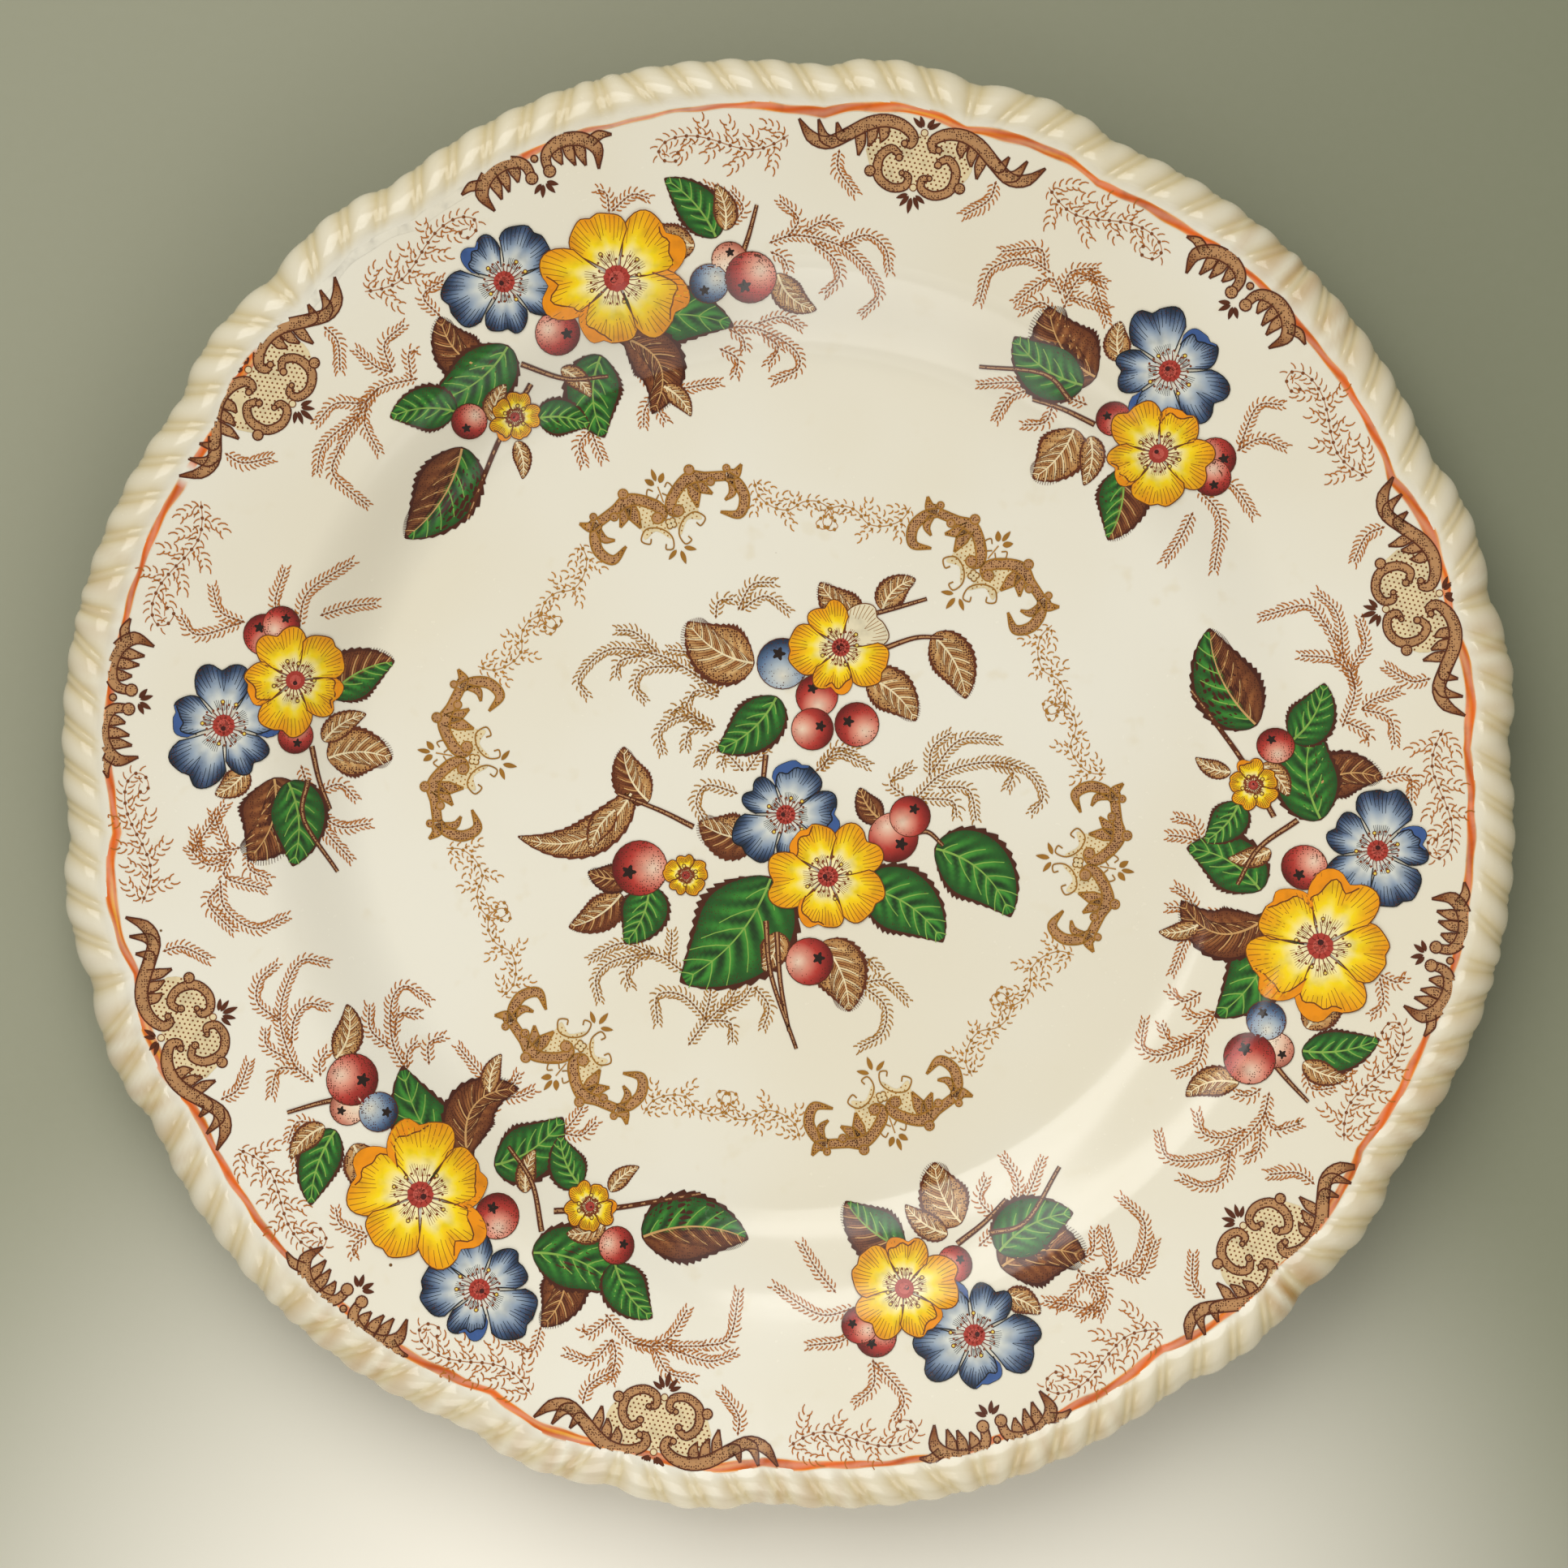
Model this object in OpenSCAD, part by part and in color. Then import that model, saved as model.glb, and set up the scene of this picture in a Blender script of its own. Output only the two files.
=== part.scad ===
// Dinner plate with a gadrooned, six-fold scalloped edge and separately applied prints.
// Millimetres. The plate lies flat on its foot ring: origin at the centre of the resting plane, +Z up.

/* [Overall] */
// Outer diameter across the lobes
plate_d = 262.4; // [200:1:320]
// Height of the flange's edge over the table
plate_h = 22.5; // [16:0.1:40]

/* [Well and wall] */
// Radius of the flat well floor
well_r = 75.5; // [50:0.5:95]
// Thickness of the well floor
well_t = 4.6; // [3:0.1:7]
// Width of the curved wall between well and flange
wall_w = 20.5; // [12:0.5:30]

/* [Flange] */
// Rise of the flange from the wall to the edge, in mm per mm of radius
flange_slope = 0.17; // [0:0.01:0.4]
// Thickness of the flange
flange_t = 4; // [2.5:0.1:6]

/* [Foot ring] */
// Width of the foot ring's band
foot_w = 5; // [3:0.1:10]
// Height of the foot ring under the well
foot_h = 3; // [1.5:0.1:6]
// How far the foot ring stands out past the well floor above it
foot_out = 1; // [0:0.1:4]
// Size of the two small bevels on the foot ring's edges
foot_bevel = 0.9; // [0.3:0.1:1.4]

/* [Gadrooned edge] */
// Width of the ribbed band, seen from above
gadroon_w = 8.2; // [5:0.1:12]
// How far the band's crest stands over the flange
gadroon_rise = 0.85; // [0.3:0.05:2]
// How far the band rolls down from the flange to the outer edge
gadroon_drop = 5.8; // [3:0.1:9]
// Number of ribs, a multiple of twelve so that each lobe is mirrored
rib_count = 108; // [60:12:144]
// Depth of the grooves between the ribs
rib_depth = 0.8; // [0.2:0.05:1.2]
// Sideways lean of the ribs across the band, in degrees
rib_lean = 2.2; // [0:0.1:3]
// Depth of the notch between two small lobes
cusp_dip = 1.2; // [0.4:0.1:2]
// Depth of the notch between a small and a wide lobe
junction_dip = 2.15; // [0.4:0.1:3]
// Angle that a small lobe takes
small_lobe = 12; // [6:1:20]
// Angle of the first cusp
cusp_at = 15.4; // [0:0.1:60]

/* [Enamel line and prints] */
// Thickness of a printed or painted skin
print_t = 0.1; // [0.05:0.01:0.3]
// Width of the enamel line along the inner edge of the ribs
line_w = 1.1; // [0.6:0.1:2]
// Bare strip between the enamel line and the flange print
border_gap = 0.5; // [0.2:0.1:3]
// Radial height of the flange print's large cartouches
border_h = 11; // [8:0.5:16]
// Width of the flange print's large cartouches
border_w = 40; // [20:1:50]
// Angle of the first large cartouche of the flange print
border_at = 18.7; // [0:0.1:60]
// Bare strip between the flange print and the flower sprays
spray_gap = 0.5; // [0.2:0.1:3]
// Angle of the first large spray
large_at = 116.6; // [0:0.1:360]
// Angle of the first small spray
small_at = 45.8; // [0:0.1:360]
// Size of the large sprays against their drawn size
large_scale = 1; // [0.7:0.05:1.1]
// Size of the small sprays against their drawn size
small_scale = 1; // [0.7:0.05:1.1]
// Bare strip between the wreath print's outer tips and the wall
wreath_gap = 3; // [1:0.1:12]
// Radial height of the wreath print
wreath_h = 17.5; // [12:0.5:24]
// How far the wreath was laid off the plate's centre
wreath_off = 6.6; // [0:0.1:7]
// Angle of the wreath's first arch
wreath_at = 50.5; // [0:0.1:60]

/* [Hidden] */
repeats = 6;                 // of the scallop and of both ring prints
spray_repeats = 3;           // of each kind of flower spray
repeat_angle = 360 / repeats;
half_repeat = repeat_angle / 2;

edge_r = plate_d / 2;
line_r = edge_r - gadroon_w;               // outer side of the enamel line, at the lobes
line_dip = 0.9;                            // share of the scallop that the enamel line follows
wall_r = well_r + wall_w;
wall_steps = 14;
floor_z = foot_h + well_t;
wall_top_z = plate_h - (line_r - wall_r) * flange_slope;
foot_r = well_r + foot_out;

deepest_dip = line_dip * max(cusp_dip, junction_dip);
core_r = line_r - deepest_dip - line_w - 0.35;   // where the turned body ends inside the ribbed edge
root_r = core_r - 2.6;                           // how deep the ribbed edge is rooted in it
rib_steps = 4;
columns = rib_count * rib_steps;

border_out_r = core_r - border_gap;
border_in_r = border_out_r - border_h;
spray_out_r = border_in_r - spray_gap;
wreath_out_r = well_r - wreath_gap - wreath_off;
wreath_in_r = wreath_out_r - wreath_h;

// ---- the surfaces, as heights over the resting plane ----

// The wall is a cubic from the level floor to the flange's slope.
function wall_z(t) = floor_z
    + (wall_top_z - floor_z) * (3 * t * t - 2 * t * t * t)
    + flange_slope * wall_w * (t * t * t - t * t);
function top_z(r) = r <= well_r ? floor_z
    : r < wall_r ? wall_z((r - well_r) / wall_w)
    : wall_top_z + (r - wall_r) * flange_slope;

// The underside follows the top, and the body thins evenly from the well to the flange.
function body_t(r) = r <= well_r ? well_t
    : r < wall_r ? well_t + (flange_t - well_t) * (r - well_r) / wall_w
    : flange_t;
function under_z(r) = top_z(r) - body_t(r);

// Radii at which the wall is sampled, shared by the body and by the prints that lie on it.
function wall_sample(i) = well_r + wall_w * i / wall_steps;

// ---- the scallop: each repeat has a cusp between two small lobes, then one wide lobe ----

// Signed angle from the nearest cusp.
function cusp_angle(a) = (a - cusp_at + half_repeat + 720) % repeat_angle - half_repeat;
function dip_at(d) = d < small_lobe / 2 ? cusp_dip * pow(1 - 2 * d / small_lobe, 2)
    : d < small_lobe ? junction_dip * pow(2 * d / small_lobe - 1, 2)
    : junction_dip * pow((half_repeat - d) / (half_repeat - small_lobe), 2);
function scallop(a) = dip_at(abs(cusp_angle(a)));

// Ribs lean away from the cusp on their way outward, and stand straight on the lines of mirroring.
function lean(a, t) = let (c = cusp_angle(a))
    sign(c) * rib_lean * (t - 0.5) * min(1, abs(c) / 3, (half_repeat - abs(c)) / 3);
function column_angle(i) = cusp_at + i * 360 / columns;

// ---- the plate ----

// Well, wall, flange and foot ring, turned as one section.
module turned_body() {
    rotate_extrude($fn = 144) polygon(concat(
        [[0, floor_z]],
        [for (i = [0 : wall_steps]) [wall_sample(i), top_z(wall_sample(i))]],
        [[core_r, top_z(core_r)], [core_r, under_z(core_r)]],
        [for (i = [wall_steps : -1 : 2]) [wall_sample(i), under_z(wall_sample(i))]],
        [[foot_r, under_z(foot_r)],
         [foot_r, foot_bevel], [foot_r - foot_bevel, 0],
         [foot_r - foot_w + foot_bevel, 0], [foot_r - foot_w, foot_bevel],
         [foot_r - foot_w, foot_h], [0, foot_h]]));
}

// Section of the ribbed band: a quarter ellipse that rolls over from the crest to the outer edge, and a little under it.
// Each row is a share of the band's width, a height over the flange's edge and a share of a rib's depth.
crest_at = 0.18;
function roll_point(q, rib) = [crest_at + (1 - crest_at) * cos(q),
                               (gadroon_rise + gadroon_drop) * sin(q) - gadroon_drop, rib];
band_section = [
    [0, 0, 0],
    roll_point(90, 0.8),
    roll_point(64, 1),
    roll_point(42, 1),
    roll_point(20, 0.9),
    roll_point(0, 0.7),
    roll_point(-22, 0.3)
];

// A rib takes four columns: one in the groove and three over its round back.
rib_back = [0, 0.72, 1, 0.72];

function ring_point(a, r, z) = [r * cos(a), r * sin(a), z];
function band_point(i, s) = let (
        a = column_angle(i) + lean(column_angle(i), s[0]),
        rib = (rib_back[i % rib_steps] - 0.5) * rib_depth * s[2],
        inner = line_r - line_dip * scallop(a),
        outer = edge_r - rib_depth / 2 - scallop(a))
    ring_point(a, inner + (outer - inner) * s[0] + rib * s[0],
               top_z(line_r) + s[1] + rib * (1 - s[0]));

// The strip that carries the enamel line: its inner side, and its outer side where the ribs start.
function strip_point(i, inward, up) = let (a = column_angle(i) + lean(column_angle(i), 0))
    ring_point(a, line_r - line_dip * scallop(a) - inward,
               (inward == 0 ? top_z(line_r) : top_z(line_r - inward)) + up);

// A closed ring from one loop of points a column, given flat, with the same loop length throughout.
module ring_solid(points, loop) {
    count = len(points) / loop;
    polyhedron(points = points, faces = [for (i = [0 : count - 1]) for (j = [0 : loop - 1])
        let (a = i * loop + j, b = i * loop + (j + 1) % loop,
             c = (i + 1) % count * loop + (j + 1) % loop, d = (i + 1) % count * loop + j)
        each [[a, c, b], [a, d, c]]]);
}

module ribbed_edge() {
    ring_solid([for (i = [0 : columns - 1]) each concat(
        [for (s = band_section) band_point(i, s)],
        [ring_point(column_angle(i), core_r + 0.4, under_z(core_r) + 0.5),
         ring_point(column_angle(i), root_r, under_z(root_r) + 1.4),
         ring_point(column_angle(i), root_r, top_z(root_r) - 1.2),
         strip_point(i, line_w, 0)])],
        len(band_section) + 4);
}

module plate_body() color("ivory") {
    turned_body();
    ribbed_edge();
}

// ---- enamel line and prints, each a thin skin on the glaze ----

module enamel_line() color("orangered")
    ring_solid([for (i = [0 : columns - 1]) each
        [strip_point(i, 0, print_t), strip_point(i, 0, 0),
         strip_point(i, line_w, 0), strip_point(i, line_w, print_t)]], 4);

// Height of the turned body at any radius, where its wall is straight from one sample to the next.
function glaze_z(r) = r <= well_r || r >= wall_r ? top_z(r)
    : let (i = floor((r - well_r) / wall_w * wall_steps), r0 = wall_sample(i), r1 = wall_sample(i + 1))
      top_z(r0) + (top_z(r1) - top_z(r0)) * (r - r0) / (r1 - r0);

// A skin over wall and flange, between two radii.
module skin(r0, r1) {
    lower = concat([[r0, glaze_z(r0)]],
        [for (i = [0 : wall_steps]) let (r = wall_sample(i)) if (r > r0 && r < r1) [r, top_z(r)]],
        [[r1, glaze_z(r1)]]);
    rotate_extrude($fn = 144) polygon(concat(lower,
        [for (i = [len(lower) - 1 : -1 : 0]) lower[i] + [0, print_t]]));
}

// A scroll cartouche: two side scrolls and a middle, given by its width, height and outer radius.
module cartouche(w, h, r)
    for (s = [-1, 1]) {
        translate([s * w * 0.26, r - h * 0.42]) circle(r = h * 0.46, $fn = 48);
        translate([s * w * 0.09, r - h * 0.5]) circle(r = h * 0.5, $fn = 48);
        translate([s * w * 0.41, r - h * 0.36]) circle(r = h * 0.3, $fn = 48);
    }

// Beads along a shallow S between two cartouches.
module sprig_run(r, from, to)
    for (i = [0 : 5]) let (a = from + (to - from) * i / 5)
        rotate(a) translate([0, r + 2 * sin(i * 72)]) circle(r = 1.9, $fn = 24);

module border_print() color("saddlebrown")
    intersection() {
        skin(border_in_r, border_out_r);
        linear_extrude(plate_h + gadroon_rise + 2) for (k = [0 : repeats - 1])
            rotate(border_at - 90 + k * repeat_angle) {
                cartouche(border_w, border_h + 1, border_out_r + 1);
                rotate(half_repeat) cartouche(border_w * 0.62, border_h * 0.7, border_out_r + 1);
                sprig_run(border_out_r - border_h * 0.4, 10.5, half_repeat - 7.5);
                sprig_run(border_out_r - border_h * 0.4, -10.5, -half_repeat + 7.5);
            }
    }

module wreath_print() color("sienna")
    translate([0, -wreath_off, floor_z]) linear_extrude(print_t) {
        difference() {
            circle(r = wreath_out_r - wreath_h * 0.1, $fn = 144);
            circle(r = wreath_out_r - wreath_h * 0.72, $fn = 144);
        }
        for (k = [0 : repeats - 1]) rotate(wreath_at - 90 + k * repeat_angle)
            for (s = [-1, 1]) translate([s * wreath_h * 0.25, wreath_out_r - wreath_h * 0.5])
                circle(r = wreath_h * 0.47, $fn = 48);
    }

// Flower heads, leaves and ferns as discs: x along the rim, y outward, radius.
large_discs = [[14, 94, 9], [-3, 99, 8], [4, 88, 7], [19, 84, 6], [29, 85, 6], [38, 84, 6],
               [42, 92, 5], [-15, 91, 8], [-28, 87, 7], [-33, 79, 6], [-18, 82, 6]];
small_discs = [[1, 97, 9], [9, 90, 8], [-3, 87, 7], [-12, 91, 6], [-20, 93, 5], [17, 95, 6]];
centre_discs = [[3, -1, 10], [11, -12, 10], [-8, -17, 9], [23, -17, 8], [34, -11, 7], [-22, -17, 8],
                [-22, -3, 8], [-33, -2, 6], [-6, 12, 9], [8, 16, 8], [12, 29, 9], [-6, 29, 7],
                [24, 29, 7], [10, -29, 7], [3, -37, 5]];

// A spray keeps its middle and grows around it, and is bounded by the flange print.
module spray(discs, size, at) {
    middle = [0, (wall_sample(1) + spray_out_r) / 2];
    drawn_middle = [0, 93];
    intersection() {
        skin(wall_sample(1), spray_out_r);
        linear_extrude(plate_h + gadroon_rise + 2) rotate(at - 90)
            for (d = discs) translate(middle + ([d[0], d[1]] - drawn_middle) * size)
                circle(r = d[2] * size, $fn = 40);
    }
}
module large_spray(k) color("darkkhaki") spray(large_discs, large_scale, large_at + k * 360 / spray_repeats);
module small_spray(k) color("slateblue") spray(small_discs, small_scale, small_at + k * 360 / spray_repeats);

module centre_print() color("olivedrab")
    translate([0, -wreath_off, floor_z]) linear_extrude(print_t) intersection() {
        circle(r = wreath_in_r - 1, $fn = 96);
        union() for (d = centre_discs) translate([d[0], d[1]]) circle(r = d[2], $fn = 40);
    }

plate_body();
enamel_line();
border_print();
wreath_print();
centre_print();
large_spray(0);  // spray_large_1
large_spray(1);  // spray_large_2
large_spray(2);  // spray_large_3
small_spray(0);  // spray_small_1
small_spray(1);  // spray_small_2
small_spray(2);  // spray_small_3
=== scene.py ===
# A china dinner plate: gadrooned, scalloped edge, printed border, wreath and hand-coloured flower sprays.
# Shapes are worked out in millimetres over the resting plane and put into Blender in metres.
import bpy
import numpy as np
from mathutils import Matrix


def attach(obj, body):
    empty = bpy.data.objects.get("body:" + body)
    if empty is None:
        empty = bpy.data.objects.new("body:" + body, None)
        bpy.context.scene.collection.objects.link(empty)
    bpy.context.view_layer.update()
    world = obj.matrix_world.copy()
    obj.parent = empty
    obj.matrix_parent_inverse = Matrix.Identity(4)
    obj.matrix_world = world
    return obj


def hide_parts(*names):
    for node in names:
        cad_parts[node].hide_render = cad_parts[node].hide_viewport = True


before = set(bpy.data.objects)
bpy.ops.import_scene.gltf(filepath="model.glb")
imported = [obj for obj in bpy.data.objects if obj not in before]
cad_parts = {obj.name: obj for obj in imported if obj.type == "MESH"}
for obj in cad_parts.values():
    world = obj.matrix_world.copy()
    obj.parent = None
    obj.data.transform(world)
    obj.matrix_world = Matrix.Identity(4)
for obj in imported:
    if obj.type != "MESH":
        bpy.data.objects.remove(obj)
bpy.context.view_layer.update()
toMetres = 0.001
print("frame loaded:", len(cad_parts), "nodes")


plate = {
    "edgeRadius": 131.12,     # over the lobes
    "wellRadius": 75.5,
    "wallWidth": 20.5,
    "flangeSlope": 0.17,
    "flangeThickness": 4.0,
    "wellThickness": 4.6,
    "footHeight": 3.0,
    "footWidth": 5.0,
    "footOut": 1.0,
    "footRounding": 0.9,
    "edgeHeight": 22.5,       # of the flange where the ribs start
    "wallRows": 22,           # rows of the mesh over the wall
    "wander": 0.05,           # how far the glaze lies off a true turned form
}
gadroon = {
    "bandWidth": 8.2,
    "rise": 0.6,
    "drop": 5.8,
    "crestAt": 0.26,          # share of the band's width
    "ribs": 108,
    "ribDepth": 0.62,
    "lean": 2.2,              # degrees
    "repeats": 6,
    "cuspDip": 1.2,
    "junctionDip": 2.15,
    "smallLobe": 12.0,        # degrees
    "cuspAt": 15.4,           # degrees
    "lineFollows": 0.9,       # share of the scallop that the inner line takes
    "narrowRib": 0.13,        # half width of the thin rib, as a share of the pitch
    "narrowHeight": 0.34,
}
floorHeight = plate["footHeight"] + plate["wellThickness"]
lineRadius = plate["edgeRadius"] - gadroon["bandWidth"]
wallRadius = plate["wellRadius"] + plate["wallWidth"]
wallTop = plate["edgeHeight"] - (lineRadius - wallRadius) * plate["flangeSlope"]
halfRepeat = 180.0 / gadroon["repeats"]


def cuspAngle(angle):
    # signed degrees from the nearest cusp
    return (angle - gadroon["cuspAt"] + halfRepeat) % (2 * halfRepeat) - halfRepeat


def scallop(angle):
    # depth of the scallop: a parabola for each half lobe, deepest where two lobes meet
    d = np.abs(cuspAngle(angle))
    half = gadroon["smallLobe"] / 2
    nearCusp = gadroon["cuspDip"] * (1 - d / half) ** 2
    nearJunction = gadroon["junctionDip"] * (d / half - 1) ** 2
    wide = gadroon["junctionDip"] * ((halfRepeat - d) / (halfRepeat - 2 * half)) ** 2
    return np.where(d < half, nearCusp, np.where(d < 2 * half, nearJunction, wide))


def innerLine(angle):
    # where the ribs start: the line's radius less its share of the scallop
    return lineRadius - gadroon["lineFollows"] * scallop(angle)


def outerEdge(angle):
    # the edge midway between rib and groove: half a rib's depth and the scallop inside the full radius
    return plate["edgeRadius"] - gadroon["ribDepth"] / 2 - scallop(angle)


def wander(x, y):
    # three slow waves, so that reflections are not those of a perfect turning
    waves = np.sin(x / 17.0 + 0.6) * np.cos(y / 23.0) + 0.7 * np.sin((x + 1.7 * y) / 29.0 + 2.0)
    return plate["wander"] * (waves + 0.4 * np.sin((2.1 * x - y) / 13.0))


def turnedHeight(r):
    # level floor, then a cubic wall that meets the flange at its slope
    t = np.clip((r - plate["wellRadius"]) / plate["wallWidth"], 0, 1)
    slope = plate["flangeSlope"]
    wall = (wallTop - floorHeight) * (3 * t ** 2 - 2 * t ** 3)
    wall = wall + slope * plate["wallWidth"] * (t ** 3 - t ** 2)
    return floorHeight + wall + slope * np.maximum(r - wallRadius, 0)


def bodyThickness(r):
    # falls evenly over the wall from the well's thickness to the flange's
    t = np.clip((r - plate["wellRadius"]) / plate["wallWidth"], 0, 1)
    return plate["wellThickness"] + (plate["flangeThickness"] - plate["wellThickness"]) * t


def bodyHeight(r, inner):
    # height over the well, wall and flange, straight between the body's rows, drawn up to the edge by the line
    rows = plate["wellRadius"] + plate["wallWidth"] * np.linspace(0, 1, plate["wallRows"])
    wall = np.interp(r, rows, turnedHeight(rows))
    u = np.clip((r - wallRadius) / (inner - wallRadius), 0, 1)
    climb = (plate["edgeHeight"] - turnedHeight(inner)) * u ** 4
    return np.where(r < wallRadius, wall, turnedHeight(r)) + climb


def topHeight(x, y):
    # height of the glaze under any point: the turned form, and over the ribs a quarter ellipse
    r = np.hypot(x, y)
    inner = innerLine(np.degrees(np.arctan2(y, x)))
    outer = outerEdge(np.degrees(np.arctan2(y, x)))
    s = np.clip((r - inner) / (outer - inner), 0, 1)
    climb = np.clip(s / gadroon["crestAt"], 0, 1)
    band = gadroon["rise"] * climb * climb * (3 - 2 * climb)
    return bodyHeight(np.minimum(r, inner), inner) + wander(x, y) + band


def ribRelief(phase):
    # phase 0 is the middle of the thin rib, a small cosine; a broad round back fills the rest of the pitch
    p = np.abs((phase + 0.5) % 1.0 - 0.5)
    narrow = gadroon["narrowRib"]
    thin = gadroon["narrowHeight"] * np.cos(np.clip(p / narrow, 0, 1) * np.pi / 2) ** 2
    back = np.sin(np.clip((p - narrow) / (0.5 - narrow), 0, 1) * np.pi / 2) ** 0.75
    return np.where(p < narrow, thin, back)


def lean(angle, share):
    # ribs lean away from the cusp on their way outward, and stand straight on the lines of mirroring
    c = cuspAngle(angle)
    ease = np.minimum(1, np.minimum(np.abs(c), halfRepeat - np.abs(c)) / 3)
    return np.sign(c) * gadroon["lean"] * (share - 0.5) * ease


def makeMesh(name, points, faces, attributes):
    # points in millimetres and lists of faces into a Blender object in metres
    mesh = bpy.data.meshes.new(name)
    mesh.from_pydata((points * toMetres).tolist(), [], faces)
    for key, values in attributes.items():
        isColour = values.ndim == 2
        layer = mesh.attributes.new(key, "FLOAT_COLOR" if isColour else "FLOAT", "POINT")
        layer.data.foreach_set("color" if isColour else "value", values.astype(np.float32).ravel())
    mesh.polygons.foreach_set("use_smooth", np.full(len(mesh.polygons), True))
    mesh.update()
    piece = bpy.data.objects.new(name, mesh)
    bpy.context.scene.collection.objects.link(piece)
    return piece


def gridFaces(rows, columns):
    # quads of a grid that closes on itself along its columns
    i = np.arange(rows - 1)[:, None]
    j = np.arange(columns)[None, :]
    k = (j + 1) % columns
    row, below = i * columns, (i + 1) * columns
    return np.stack([row + j, below + j, below + k, row + k], axis=-1).reshape(-1, 4)


def stains(points):
    # old amber staining: bumps at a few places round the ribbed band, angle, spread and strength
    x, y = points[:, 0], points[:, 1]
    angle = np.degrees(np.arctan2(y, x)) % 360
    marks = ((45, 7, 0.5), (315, 2.5, 0.9), (205, 9, 0.35), (232, 8, 0.45), (250, 5, 0.4), (270, 6, 0.4),
             (333, 10, 0.35), (292, 8, 0.3), (12, 9, 0.25), (165, 8, 0.2))
    total = sum(power * np.exp(-((angle - at) / spread) ** 2) for at, spread, power in marks)
    broken = 0.5 + 0.5 * np.sin(angle * 2.9 + 1.3 * np.sin(angle * 1.1))
    edge = np.clip((np.hypot(x, y) - lineRadius + 3) / 6, 0, 1)
    return total * broken * edge


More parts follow.
